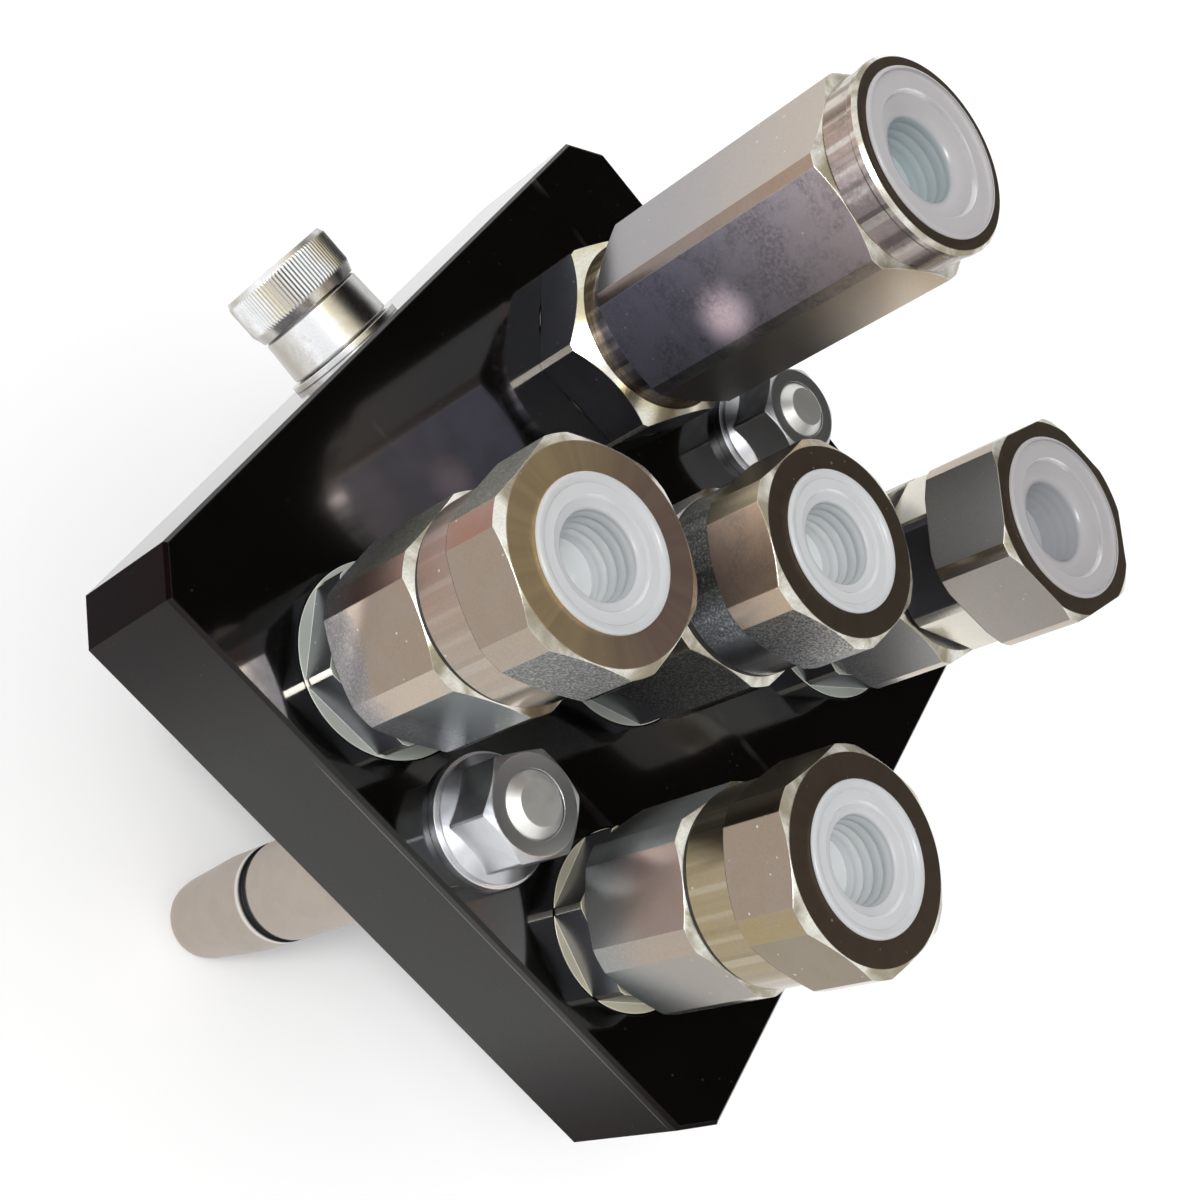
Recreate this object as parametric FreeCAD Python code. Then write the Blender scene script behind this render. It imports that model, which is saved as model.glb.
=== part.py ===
"""Hose-side half of a hydraulic multi-coupling: a plate that carries five quick couplings.

Millimetres. The origin is the centre of the mating face of the plate and +Z points to the hoses,
so the noses and the guide pins reach below Z = 0 and the hose ports open upwards.
"""
import FreeCAD, Part
import math
import os

V = FreeCAD.Vector

# Plate
PLATE_X = 150.0
PLATE_Y = 140.0
PLATE_Z = 30.0
PLATE_CORNER = 6.8
PLATE_EDGE = 0.6

# Places of the five lines, measured from the sides of the plate; the third from its middle
LINE_1_FROM_RIGHT = 36.0
LINE_1_FROM_BACK = 35.5
LINE_2_FROM_LEFT = 23.0
LINE_2_FROM_BACK = 40.1
LINE_3_X = -10.4
LINE_3_Y = -1.8
LINE_4_FROM_RIGHT = 37.4
LINE_4_FROM_FRONT = 33.4
LINE_5_FROM_LEFT = 22.3
LINE_5_FROM_FRONT = 36.4

# How far the hexagons are turned about the axis of their line, in degrees
LINE_1_COLLAR_TURN = 35.0
LINE_1_LONG_TURN = 20.5
LINE_2_BODY_TURN = 32.3
LINE_2_SLEEVE_TURN = 60.3
LINE_2_END_TURN = 0.8
LINE_3_BODY_TURN = 54.0
LINE_3_SLEEVE_TURN = 50.5
LINE_3_END_TURN = 51.5
LINE_4_BODY_TURN = 15.0
LINE_4_SLEEVE_TURN = 40.0
LINE_4_NECK_TURN = 2.0
LINE_4_END_TURN = 38.0
LINE_5_BODY_TURN = 8.7
LINE_5_SLEEVE_TURN = 42.0
LINE_5_END_TURN = 43.7

# Clearances
HOLE_CLEARANCE = 0.3
SEAT_CLEARANCE = 0.05
RUNNING_CLEARANCE = 0.06

# Small body, half-inch line
SMALL_SHANK_R = 15.0
SMALL_NOSE_R = 13.5
SMALL_NOSE_LENGTH = 15.0
SMALL_SOCKET_R = 12.0
SMALL_CHAMBER_R = 10.0
SMALL_VALVE_R = 8.0
SMALL_BODY_HEX_HEIGHT = 7.5
SMALL_SLEEVE_BORE_R = 7.0
SMALL_PORT_R = 9.4
SMALL_PORT_DEPTH = 17.0
SMALL_CAP_R = 12.5
SMALL_STRIP = 7.0
SMALL_STEM_R = 3.0
SMALL_SPRING_R = 6.6
SMALL_WIRE_R = 0.8

# Large body, three-quarter-inch line
LARGE_SHANK_R = 16.2
LARGE_NOSE_R = 14.8
LARGE_NOSE_LENGTH = 16.0
LARGE_SOCKET_R = 13.2
LARGE_CHAMBER_R = 11.6
LARGE_VALVE_R = 9.5
LARGE_BODY_HEX_HEIGHT = 8.5
LARGE_SLEEVE_BORE_R = 8.5
LARGE_PORT_R = 12.1
LARGE_PORT_DEPTH = 19.0
LARGE_CAP_R = 15.8
LARGE_STRIP = 3.6
LARGE_STEM_R = 3.5
LARGE_SPRING_R = 7.8
LARGE_WIRE_R = 0.9

# What all the bodies share
FLANGE_DEPTH = 8.0
RING_POCKET_DEPTH = 3.6
SOCKET_FLOOR = 9.0
VALVE_LAND = 5.0
VALVE_COLLAR = 2.5
STEM_PROUD = 2.0
SMALL_EDGE = 0.4
NOSE_CHAMFER = 1.2
NOSE_CHAMFER_LENGTH = 2.4
NOSE_SHOULDER = 1.0
SPRING_END_TURNS = 0.75
SPRING_OPEN_TURNS = 3.5
SPRING_RUNS_PER_TURN = 12
SPRING_WIRE_FLATS = 8
GUIDE_THICKNESS = 4.0
GUIDE_HUB_HEIGHT = 7.0
GUIDE_WALL = 1.6
GUIDE_HOLES = 6
GUIDE_HOLE_R = 1.9
GUIDE_HOLE_GAP = 0.4
SPIGOT_ENTRY = 1.6
SPIGOT_LENGTH_IN_SLEEVE = 10.0
SPIGOT_WALL = 3.0
JOINT_SEAL = 1.2
JOINT_SEAL_RECESS = 0.1
JOINT_SEAL_PLAY = 0.5
BODY_STRIP = 2.0
HEX_CHAMFER_DEGREES = 30.0
HEX_CHAMFER_IN = 0.4
COLLAR_UNDER_FLATS = 0.15
FACE_OVER_FLATS = 0.8
PORT_MOUTH = 1.0
HEX_UNDERCUT = 0.9
SLEEVE_FOOT_RING = 2.0
SEAL_GROOVE = 1.8
SEAL_DEPTH = 1.4

# First line: heights above the hose face of the plate, sizes across flats and radii
LINE_1_FLANGE_R = 18.6
LINE_1_COLLAR_HEX = 37.0
LINE_1_COLLAR_HEIGHT = 12.4
LINE_1_COLLAR_STRAIGHT = 9.6
LINE_1_CONE_TOP_R = 17.6
LINE_1_NECK_R = 16.4
LINE_1_NECK_TOP = 17.4
LINE_1_LONG_HEX = 36.0
LINE_1_RIM_R = 18.3
LINE_1_RIM_LENGTH = 7.3
LINE_1_RIM_BAND = 1.7
LINE_1_RIM_STEP = 0.3
LINE_1_RIM_CHAMFER = 0.7
LINE_1_TOP = 83.1

# Lines 2, 3 and 5: heights above the hose face, flange radii and sizes across flats
SLEEVE_TOP = 33.3
COLLAR_TOP = 43.5
LINE_2_TOP = 56.9
LINE_2_FLANGE_R = 17.5
LINE_2_BODY_HEX = 30.4
LINE_2_SLEEVE_HEX = 34.0
LINE_2_END_HEX = 35.0
LINE_3_TOP = 57.3
LINE_3_FLANGE_R = 17.0
LINE_3_BODY_HEX = 29.8
LINE_3_SLEEVE_HEX = 33.4
LINE_3_END_HEX = 33.5
LINE_5_TOP = 57.6
LINE_5_FLANGE_R = 16.4
LINE_5_BODY_HEX = 29.0
LINE_5_SLEEVE_HEX = 32.6
LINE_5_END_HEX = 33.8

# Fourth line: heights above the hose face, flange radius and sizes across flats
LINE_4_FLANGE_R = 18.6
LINE_4_BODY_HEX = 32.6
LINE_4_SLEEVE_TOP = 31.2
LINE_4_SLEEVE_HEX = 35.0
LINE_4_NECK_HEX = 31.6
LINE_4_NECK_TOP = 44.0
LINE_4_TOP = 61.2
LINE_4_END_HEX = 36.2

# Retaining rings
CLIP_THICKNESS = 1.75
CLIP_GROOVE_DEPTH = 0.9
CLIP_WIDTH = 3.2
CLIP_MOUTH_DEGREES = 34.0
CLIP_EYE_R = 0.7
CLIP_EYE_DEGREES = 6.0

# Press-in dust caps of the ports
CAP_FLANGE = 0.9
CAP_FLANGE_ROUND = 0.4
CAP_SKIRT = 12.0
CAP_WALL = 1.5
CAP_FLOOR = 1.4
CAP_TAPER = 0.35
CAP_FOOT_ROUND = 0.6
CAP_STRAIGHT = 1.2
CAP_LIP = 1.2
CAP_LIP_LENGTH = 1.8

# Guide pins, on the studs of which the flange nuts clamp the plate
PIN_1_FROM_LEFT = 14.6
PIN_1_Y = -1.0
PIN_2_FROM_RIGHT = 19.0
PIN_2_Y = -0.5
PIN_R = 10.0
PIN_LENGTH = 76.0
PIN_TAPER_LENGTH = 18.0
PIN_TAPER_IN = 1.3
PIN_TIP_ROUND = 7.0
PIN_TIP_RUNS = 5
PIN_GROOVE_PLACE = 37.2
PIN_GROOVE_WIDTH = 2.6
PIN_GROOVE_DEPTH = 0.7
PIN_FLANGE_R = 11.0
PIN_RELIEF_R = 9.5
PIN_RELIEF_LENGTH = 1.0
PIN_SPIGOT_R = 8.0
PIN_SPIGOT_SHORT = 2.0
PIN_SEAT_DEPTH = 3.0
STUD_R = 6.0
STUD_HEIGHT = 15.5
STUD_CHAMFER = 1.9
WASHER_R = 11.8
WASHER_THICKNESS = 1.8
NUT_FLANGE_R = 11.2
NUT_RIM = 1.0
NUT_CONE = 1.8
NUT_HEX = 18.0
NUT_HEIGHT = 12.2
NUT_TURN = 24.0
NUT_STRIP = 1.5
NUT_CHAMFER_IN = 0.3

# Cam screws and rollers on the two long sides
CAM_X = -1.3
CAM_Z = 15.0
CAM_WASHER_R = 12.2
CAM_WASHER = 1.2
ROLLER_R = 10.5
ROLLER_FOOT_R = 10.9
ROLLER_WIDTH = 8.8
ROLLER_SIDE_PLAY = 0.2
SHOULDER_R = 8.0
CAM_HEAD_R = 11.4
CAM_HEAD_HEIGHT = 9.8
CAM_HEAD_CHAMFER = 0.6
CAM_HEAD_CHAMFER_LENGTH = 1.3
CAM_HEAD_FOOT_R = 10.6
CAM_HEAD_FOOT_LENGTH = 2.4
CAM_SOCKET = 8.0
CAM_SOCKET_DEPTH = 5.5
CAM_THREAD_R = 6.0
CAM_THREAD_LENGTH = 18.0
CAM_HOLE_EXTRA = 2.0
KNURL_RIDGES = 96
KNURL_DEPTH = 0.25


def disc(radius, bottom, top, x=0.0, y=0.0):
    """Cylinder along Z between two heights."""
    return Part.makeCylinder(radius, top - bottom, V(x, y, bottom))


def turned(profile):
    """Solid of revolution about Z from (radius, height) points of a closed outline."""
    points = [V(radius, 0.0, height) for radius, height in profile]
    face = Part.Face(Part.makePolygon(points + [points[0]]))
    return face.revolve(V(0, 0, 0), V(0, 0, 1), 360.0)


def hexagon(across_flats, bottom, top, turn=0.0):
    """Hexagonal prism along Z, with a corner at the angle turn."""
    corner = across_flats / math.sqrt(3.0)
    points = []
    for k in range(6):
        angle = math.radians(turn + 60.0 * k)
        points.append(V(corner * math.cos(angle), corner * math.sin(angle), bottom))
    face = Part.Face(Part.makePolygon(points + [points[0]]))
    return face.extrude(V(0, 0, top - bottom))


def bar_radius(across_flats, strip):
    """Radius of the round bar that a hexagon is milled from, of which each corner keeps a strip.

    The strip reaches so many degrees to each side of the corner.
    """
    return across_flats / 2.0 / math.cos(math.radians(30.0 - strip))


def chamfered_hexagon(across_flats, bottom, top, turn, strip, face_r, at_bottom, at_top):
    """Hexagon milled from round bar, coned down to the radius face_r at one end or at both."""
    bar_r = bar_radius(across_flats, strip)
    rise = (bar_r - face_r) * math.tan(math.radians(HEX_CHAMFER_DEGREES))
    outline = [(0.0, bottom)]
    outline += [(face_r, bottom), (bar_r, bottom + rise)] if at_bottom else [(bar_r, bottom)]
    outline += [(bar_r, top - rise), (face_r, top)] if at_top else [(bar_r, top)]
    outline += [(0.0, top)]
    return hexagon(across_flats, bottom, top, turn).common(turned(outline))


def joined(*solids):
    """One solid from touching ones, with the seams between them removed."""
    return solids[0].multiFuse(list(solids[1:])).removeSplitter()


class Size:
    """The radii of a coupling of one port size."""

    def __init__(self, small):
        self.shank = SMALL_SHANK_R if small else LARGE_SHANK_R
        self.nose = SMALL_NOSE_R if small else LARGE_NOSE_R
        self.nose_length = SMALL_NOSE_LENGTH if small else LARGE_NOSE_LENGTH
        self.socket = SMALL_SOCKET_R if small else LARGE_SOCKET_R
        self.chamber = SMALL_CHAMBER_R if small else LARGE_CHAMBER_R
        self.valve = SMALL_VALVE_R if small else LARGE_VALVE_R
        self.body_hex_height = SMALL_BODY_HEX_HEIGHT if small else LARGE_BODY_HEX_HEIGHT
        self.strip = SMALL_STRIP if small else LARGE_STRIP
        self.sleeve_bore = SMALL_SLEEVE_BORE_R if small else LARGE_SLEEVE_BORE_R
        self.port = SMALL_PORT_R if small else LARGE_PORT_R
        self.port_depth = SMALL_PORT_DEPTH if small else LARGE_PORT_DEPTH
        self.cap = SMALL_CAP_R if small else LARGE_CAP_R
        self.stem = SMALL_STEM_R if small else LARGE_STEM_R
        self.spring = SMALL_SPRING_R if small else LARGE_SPRING_R
        self.wire = SMALL_WIRE_R if small else LARGE_WIRE_R
        self.bore = self.sleeve_bore + SPIGOT_WALL

    def front(self):
        """Height of the flat front of the nose and of the valve in it."""
        return -self.nose_length

    def collar(self):
        """Height of the inner shoulder that stops the valve."""
        return self.front() + VALVE_LAND


SMALL = Size(True)
LARGE = Size(False)


class Line:
    """One coupling: its place, its sizes, its hexagons and its height."""

    def __init__(self, number, x, y, size, flange, top):
        self.number = number
        self.x = x
        self.y = y
        self.size = size
        self.flange = flange
        self.top = PLATE_Z + top
        self.body_hex = None
        self.sleeve_hex = None
        self.end_hex = None

    def hexagons(self, body, sleeve, end):
        """Set the hexagons of the body, the sleeve and the end, each as (across flats, turn)."""
        self.body_hex = body
        self.sleeve_hex = sleeve
        self.end_hex = end
        return self

    def seat(self):
        """Height of the shoulder of the body on which the sleeve or the long port piece seats."""
        if self.number == 1:
            return PLATE_Z + LINE_1_COLLAR_HEIGHT
        return PLATE_Z + self.size.body_hex_height


RIGHT = PLATE_X / 2.0
BACK = PLATE_Y / 2.0
LINES = [
    Line(1, RIGHT - LINE_1_FROM_RIGHT, BACK - LINE_1_FROM_BACK, LARGE, LINE_1_FLANGE_R, LINE_1_TOP).hexagons(
        (LINE_1_COLLAR_HEX, LINE_1_COLLAR_TURN), None,
        (LINE_1_LONG_HEX, LINE_1_LONG_TURN)),
    Line(2, LINE_2_FROM_LEFT - RIGHT, BACK - LINE_2_FROM_BACK, SMALL, LINE_2_FLANGE_R, LINE_2_TOP).hexagons(
        (LINE_2_BODY_HEX, LINE_2_BODY_TURN), (LINE_2_SLEEVE_HEX, LINE_2_SLEEVE_TURN),
        (LINE_2_END_HEX, LINE_2_END_TURN)),
    Line(3, LINE_3_X, LINE_3_Y, SMALL, LINE_3_FLANGE_R, LINE_3_TOP).hexagons(
        (LINE_3_BODY_HEX, LINE_3_BODY_TURN), (LINE_3_SLEEVE_HEX, LINE_3_SLEEVE_TURN),
        (LINE_3_END_HEX, LINE_3_END_TURN)),
    Line(4, RIGHT - LINE_4_FROM_RIGHT, LINE_4_FROM_FRONT - BACK, LARGE, LINE_4_FLANGE_R, LINE_4_TOP).hexagons(
        (LINE_4_BODY_HEX, LINE_4_BODY_TURN), (LINE_4_SLEEVE_HEX, LINE_4_SLEEVE_TURN),
        (LINE_4_END_HEX, LINE_4_END_TURN)),
    Line(5, LINE_5_FROM_LEFT - RIGHT, LINE_5_FROM_FRONT - BACK, SMALL, LINE_5_FLANGE_R, LINE_5_TOP).hexagons(
        (LINE_5_BODY_HEX, LINE_5_BODY_TURN), (LINE_5_SLEEVE_HEX, LINE_5_SLEEVE_TURN),
        (LINE_5_END_HEX, LINE_5_END_TURN)),
]


def plate():
    """Plate with cut corners, stepped holes for the lines, and holes for the pins and cam screws."""
    half_x = PLATE_X / 2.0
    half_y = PLATE_Y / 2.0
    cut = PLATE_CORNER
    outline = [
        V(-half_x + cut, -half_y, 0), V(half_x - cut, -half_y, 0),
        V(half_x, -half_y + cut, 0), V(half_x, half_y - cut, 0),
        V(half_x - cut, half_y, 0), V(-half_x + cut, half_y, 0),
        V(-half_x, half_y - cut, 0), V(-half_x, -half_y + cut, 0),
    ]
    blank = Part.Face(Part.makePolygon(outline + [outline[0]])).extrude(V(0, 0, PLATE_Z))
    rims = [edge for edge in blank.Edges if abs(edge.tangentAt(edge.FirstParameter).z) < 0.5]
    blank = blank.makeChamfer(PLATE_EDGE, rims)
    cuts = []
    for line in LINES:
        size = line.size
        pocket = size.shank + CLIP_WIDTH + HOLE_CLEARANCE
        cuts.append(disc(size.shank + HOLE_CLEARANCE, 0.0, PLATE_Z, line.x, line.y))
        cuts.append(disc(line.flange + HOLE_CLEARANCE, PLATE_Z - FLANGE_DEPTH, PLATE_Z, line.x, line.y))
        cuts.append(disc(pocket, 0.0, RING_POCKET_DEPTH, line.x, line.y))
    for x, y in pin_places():
        cuts.append(disc(PIN_SPIGOT_R + SEAT_CLEARANCE, 0.0, PLATE_Z, x, y))
        cuts.append(disc(PIN_FLANGE_R + SEAT_CLEARANCE, 0.0, PIN_SEAT_DEPTH, x, y))
    for side in (-1.0, 1.0):
        depth = CAM_THREAD_LENGTH + CAM_HOLE_EXTRA
        start = V(CAM_X, side * (half_y - depth), CAM_Z)
        cuts.append(Part.makeCylinder(CAM_THREAD_R + SEAT_CLEARANCE, depth, start, V(0, side, 0)))
    return blank.cut(Part.makeCompound(cuts))


def coupling_body(line):
    """Body through the plate: nose, shank with clip groove, flange, wrench hexagon, inner steps."""
    size = line.size
    groove_r = size.shank - CLIP_GROOVE_DEPTH
    clip_top = RING_POCKET_DEPTH
    clip_bottom = clip_top - CLIP_THICKNESS
    outline = [
        (size.valve + RUNNING_CLEARANCE, size.front()),
        (size.nose - NOSE_CHAMFER, size.front()),
        (size.nose, size.front() + NOSE_CHAMFER_LENGTH),
        (size.nose, -NOSE_SHOULDER),
        (size.shank, size.shank - size.nose - NOSE_SHOULDER),
        (size.shank, clip_bottom),
        (groove_r, clip_bottom),
        (groove_r, clip_top),
        (size.shank, clip_top),
        (size.shank, PLATE_Z - FLANGE_DEPTH),
        (line.flange, PLATE_Z - FLANGE_DEPTH),
        (line.flange, PLATE_Z),
        (size.socket, PLATE_Z),
        (size.socket, SOCKET_FLOOR),
        (size.chamber, SOCKET_FLOOR),
        (size.chamber, size.collar()),
        (size.valve + RUNNING_CLEARANCE, size.collar()),
    ]
    low = turned(outline)
    if line.number == 1:
        head = collar_hexagon(line)
    else:
        across, turn = line.body_hex
        head = hexagon(across, PLATE_Z, line.seat(), turn)
        head = head.common(disc(bar_radius(across, BODY_STRIP), PLATE_Z, line.seat()))
    head = head.cut(disc(size.socket, PLATE_Z, line.seat()))
    body = joined(low, head)
    middle = size.front() + VALVE_LAND / 2.0
    groove = disc(size.valve + SEAL_DEPTH, middle - SEAL_GROOVE / 2.0, middle + SEAL_GROOVE / 2.0)
    return body.cut(groove)


def collar_hexagon(line):
    """Wide hexagon of the first body, its front turned to a long cone."""
    across, turn = line.body_hex
    straight = PLATE_Z + LINE_1_COLLAR_STRAIGHT
    bar_r = bar_radius(across, BODY_STRIP)
    cone = turned([(0.0, PLATE_Z), (bar_r, PLATE_Z), (bar_r, straight),
                   (LINE_1_CONE_TOP_R, line.seat()), (0.0, line.seat())])
    return hexagon(across, PLATE_Z, line.seat(), turn).common(cone)


def socket_spigot(size, bottom, top):
    """Stub that sits in the socket of a body and clamps the guide, with a coned entry to its bore."""
    entry_r = size.sleeve_bore + SPIGOT_ENTRY
    stub = disc(size.socket - SEAT_CLEARANCE, bottom, top)
    entry = Part.makeCone(entry_r, size.sleeve_bore, 2.0 * SPIGOT_ENTRY, V(0, 0, bottom))
    return stub.cut(disc(size.sleeve_bore, bottom, top)).cut(entry)


def sleeve(line):
    """Hexagonal sleeve between the body and the port piece of lines 2 to 5."""
    size = line.size
    bottom = line.seat()
    top = sleeve_top(line)
    neck = bottom + HEX_UNDERCUT
    across, turn = line.sleeve_hex
    barrel = chamfered_hexagon(across, neck, top, turn, size.strip, across / 2.0 - HEX_CHAMFER_IN, True, True)
    ring = disc(size.socket + SLEEVE_FOOT_RING, bottom, neck)
    foot = socket_spigot(size, SOCKET_FLOOR + GUIDE_THICKNESS, bottom)
    barrel = joined(barrel, ring).cut(disc(size.sleeve_bore, bottom, top))
    barrel = barrel.cut(disc(size.bore, top - SPIGOT_LENGTH_IN_SLEEVE, top))
    return joined(barrel, foot)


def sleeve_top(line):
    """Height at which the sleeve ends and the joint seal lies."""
    return PLATE_Z + (LINE_4_SLEEVE_TOP if line.number == 4 else SLEEVE_TOP)


def joint_seal(line):
    """Thin ring that shows as the dark joint between the sleeve and the port piece."""
    size = line.size
    bottom = sleeve_top(line)
    above = LINE_4_NECK_HEX if line.number == 4 else line.end_hex[0]
    outer = min(line.sleeve_hex[0], above) / 2.0 - JOINT_SEAL_RECESS
    inner = size.bore + JOINT_SEAL_PLAY
    return disc(outer, bottom, bottom + JOINT_SEAL).cut(disc(inner, bottom, bottom + JOINT_SEAL))


def port_cuts(line, passage_bottom):
    """Port bore with its countersunk mouth, and the passage below it."""
    size = line.size
    floor = line.top - size.port_depth
    cone = Part.makeCone(size.port, size.port + PORT_MOUTH, PORT_MOUTH, V(0, 0, line.top - PORT_MOUTH))
    tip = Part.makeCone(size.sleeve_bore, size.port, size.port - size.sleeve_bore,
                        V(0, 0, floor - size.port + size.sleeve_bore))
    port = disc(size.port, floor, line.top)
    passage = disc(size.sleeve_bore, passage_bottom, floor)
    return Part.makeCompound([cone, tip, port, passage])


def port_piece(line):
    """Port piece of lines 2 to 5: spigot, collar or neck, and hexagon with the port."""
    size = line.size
    across, turn = line.end_hex
    bottom = sleeve_top(line) + JOINT_SEAL
    if line.number == 4:
        shoulder = PLATE_Z + LINE_4_NECK_TOP
        neck_r = bar_radius(LINE_4_NECK_HEX, size.strip)
        neck = hexagon(LINE_4_NECK_HEX, bottom, shoulder, LINE_4_NECK_TURN).common(disc(neck_r, bottom, shoulder))
        face_r = across / 2.0 + FACE_OVER_FLATS
    else:
        shoulder = PLATE_Z + COLLAR_TOP
        neck = disc(across / 2.0 - COLLAR_UNDER_FLATS, bottom, shoulder)
        face_r = across / 2.0 - COLLAR_UNDER_FLATS
    head = chamfered_hexagon(across, shoulder, line.top, turn, size.strip, face_r, True, True)
    stub_bottom = sleeve_top(line) - SPIGOT_LENGTH_IN_SLEEVE
    stub = disc(size.bore - SEAT_CLEARANCE, stub_bottom, bottom)
    return joined(neck, head, stub).cut(port_cuts(line, stub_bottom))


def long_port_piece(line):
    """Port piece of line 1: neck, long hexagon and round rim, with its spigot in the body."""
    size = line.size
    across, turn = line.end_hex
    bottom = line.seat()
    neck_top = PLATE_Z + LINE_1_NECK_TOP
    hex_top = line.top - LINE_1_RIM_LENGTH
    under_r = LINE_1_RIM_R - LINE_1_RIM_STEP
    neck = disc(LINE_1_NECK_R, bottom, neck_top)
    barrel = chamfered_hexagon(across, neck_top, hex_top, turn, size.strip, across / 2.0 - HEX_CHAMFER_IN,
                               True, True)
    rim = turned([(0.0, hex_top), (under_r, hex_top), (under_r, line.top - LINE_1_RIM_BAND - LINE_1_RIM_STEP),
                  (LINE_1_RIM_R, line.top - LINE_1_RIM_BAND), (LINE_1_RIM_R, line.top - LINE_1_RIM_CHAMFER),
                  (LINE_1_RIM_R - LINE_1_RIM_CHAMFER, line.top), (0.0, line.top)])
    stub = socket_spigot(size, SOCKET_FLOOR + GUIDE_THICKNESS, bottom)
    upper = joined(neck, barrel, rim).cut(port_cuts(line, bottom))
    return joined(upper, stub)


def port_cap(line):
    """Thin push-in dust cap: rounded flange on the port face, tapered skirt and closed floor."""
    size = line.size
    top = line.top + CAP_FLANGE
    skirt_r = size.port - RUNNING_CLEARANCE
    foot_r = skirt_r - CAP_TAPER
    foot = line.top - CAP_SKIRT
    cup_r = skirt_r - CAP_WALL
    outline = [
        (0.0, foot),
        (foot_r - CAP_FOOT_ROUND, foot),
        (foot_r, foot + CAP_FOOT_ROUND),
        (skirt_r, line.top - CAP_STRAIGHT),
        (skirt_r, line.top),
        (size.cap, line.top),
        (size.cap, top - CAP_FLANGE_ROUND),
        (size.cap - 0.3 * CAP_FLANGE_ROUND, top - 0.3 * CAP_FLANGE_ROUND),
        (size.cap - CAP_FLANGE_ROUND, top),
        (cup_r + CAP_LIP, top),
        (cup_r, top - CAP_LIP_LENGTH),
        (cup_r - CAP_TAPER, foot + CAP_FLOOR),
        (0.0, foot + CAP_FLOOR),
    ]
    return turned(outline)


def valve(line):
    """Flat-faced valve: plain front land, stop collar and guided stem."""
    size = line.size
    stop = size.collar()
    collar_r = size.chamber - 2.0 * HOLE_CLEARANCE
    stem_top = SOCKET_FLOOR + GUIDE_HUB_HEIGHT + STEM_PROUD
    edge = SMALL_EDGE
    return turned([
        (0.0, size.front()),
        (size.valve - edge, size.front()),
        (size.valve, size.front() + edge),
        (size.valve, stop),
        (collar_r, stop),
        (collar_r, stop + VALVE_COLLAR),
        (size.stem, stop + VALVE_COLLAR),
        (size.stem, stem_top - edge),
        (size.stem - edge, stem_top),
        (0.0, stem_top),
    ])


def valve_seal(line):
    """Seal ring in the groove round the front land of the valve."""
    size = line.size
    middle = size.front() + VALVE_LAND / 2.0
    half = SEAL_GROOVE / 2.0
    inner = size.valve + RUNNING_CLEARANCE
    return disc(size.valve + SEAL_DEPTH, middle - half, middle + half).cut(
        disc(inner, middle - half, middle + half))


def spring_ends(line):
    """Heights between which the closed valve's spring stands."""
    return line.size.collar() + VALVE_COLLAR, SOCKET_FLOOR


def wire_height(turn, low, high, wire):
    """Height of the wire's centre after some turns: a closed end coil, open turns, a closed end coil."""
    closed = 2.0 * wire
    pitch = (high - low - wire - 2.0 * SPRING_END_TURNS * closed) / SPRING_OPEN_TURNS
    opened = min(max(turn - SPRING_END_TURNS, 0.0), SPRING_OPEN_TURNS)
    return low + wire / 2.0 + closed * (turn - opened) + pitch * opened


def wire_section(turn, height, size):
    """Outline across the wire at one place of the coil."""
    around = 2.0 * math.pi * turn
    points = []
    for k in range(SPRING_WIRE_FLATS):
        angle = 2.0 * math.pi * (k + 0.5) / SPRING_WIRE_FLATS
        radius = size.spring + size.wire * math.cos(angle)
        points.append(V(radius * math.cos(around), radius * math.sin(around),
                        height + size.wire * math.sin(angle)))
    return Part.makePolygon(points + [points[0]])


def valve_spring(line):
    """Compression spring between the stop collar and the guide, its end coils ground flat."""
    size = line.size
    low, high = spring_ends(line)
    turns = 2.0 * SPRING_END_TURNS + SPRING_OPEN_TURNS
    runs = int(round(turns * SPRING_RUNS_PER_TURN))
    sections = []
    for k in range(runs + 1):
        turn = turns * k / runs
        sections.append(wire_section(turn, wire_height(turn, low, high, size.wire), size))
    coil = Part.makeLoft(sections, True, True)
    between = disc(size.spring + 2.0 * size.wire, low, high)
    return coil.common(between)


def stem_guide(line):
    """Spider that guides the stem: rim in the socket, hub, and round flow holes between."""
    size = line.size
    top = SOCKET_FLOOR + GUIDE_THICKNESS
    rim_r = size.socket - SEAT_CLEARANCE
    hub_r = size.stem + GUIDE_WALL
    stem_r = size.stem + RUNNING_CLEARANCE
    web = disc(rim_r, SOCKET_FLOOR, top)
    hub = disc(hub_r, SOCKET_FLOOR, SOCKET_FLOOR + GUIDE_HUB_HEIGHT)
    ring_r = hub_r + GUIDE_HOLE_GAP + GUIDE_HOLE_R
    holes = []
    for k in range(GUIDE_HOLES):
        angle = 2.0 * math.pi * k / GUIDE_HOLES
        x = ring_r * math.cos(angle)
        y = ring_r * math.sin(angle)
        holes.append(disc(GUIDE_HOLE_R, SOCKET_FLOOR, top, x, y))
    bored = joined(web, hub).cut(disc(stem_r, SOCKET_FLOOR, SOCKET_FLOOR + GUIDE_HUB_HEIGHT))
    return bored.cut(Part.makeCompound(holes))


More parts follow.
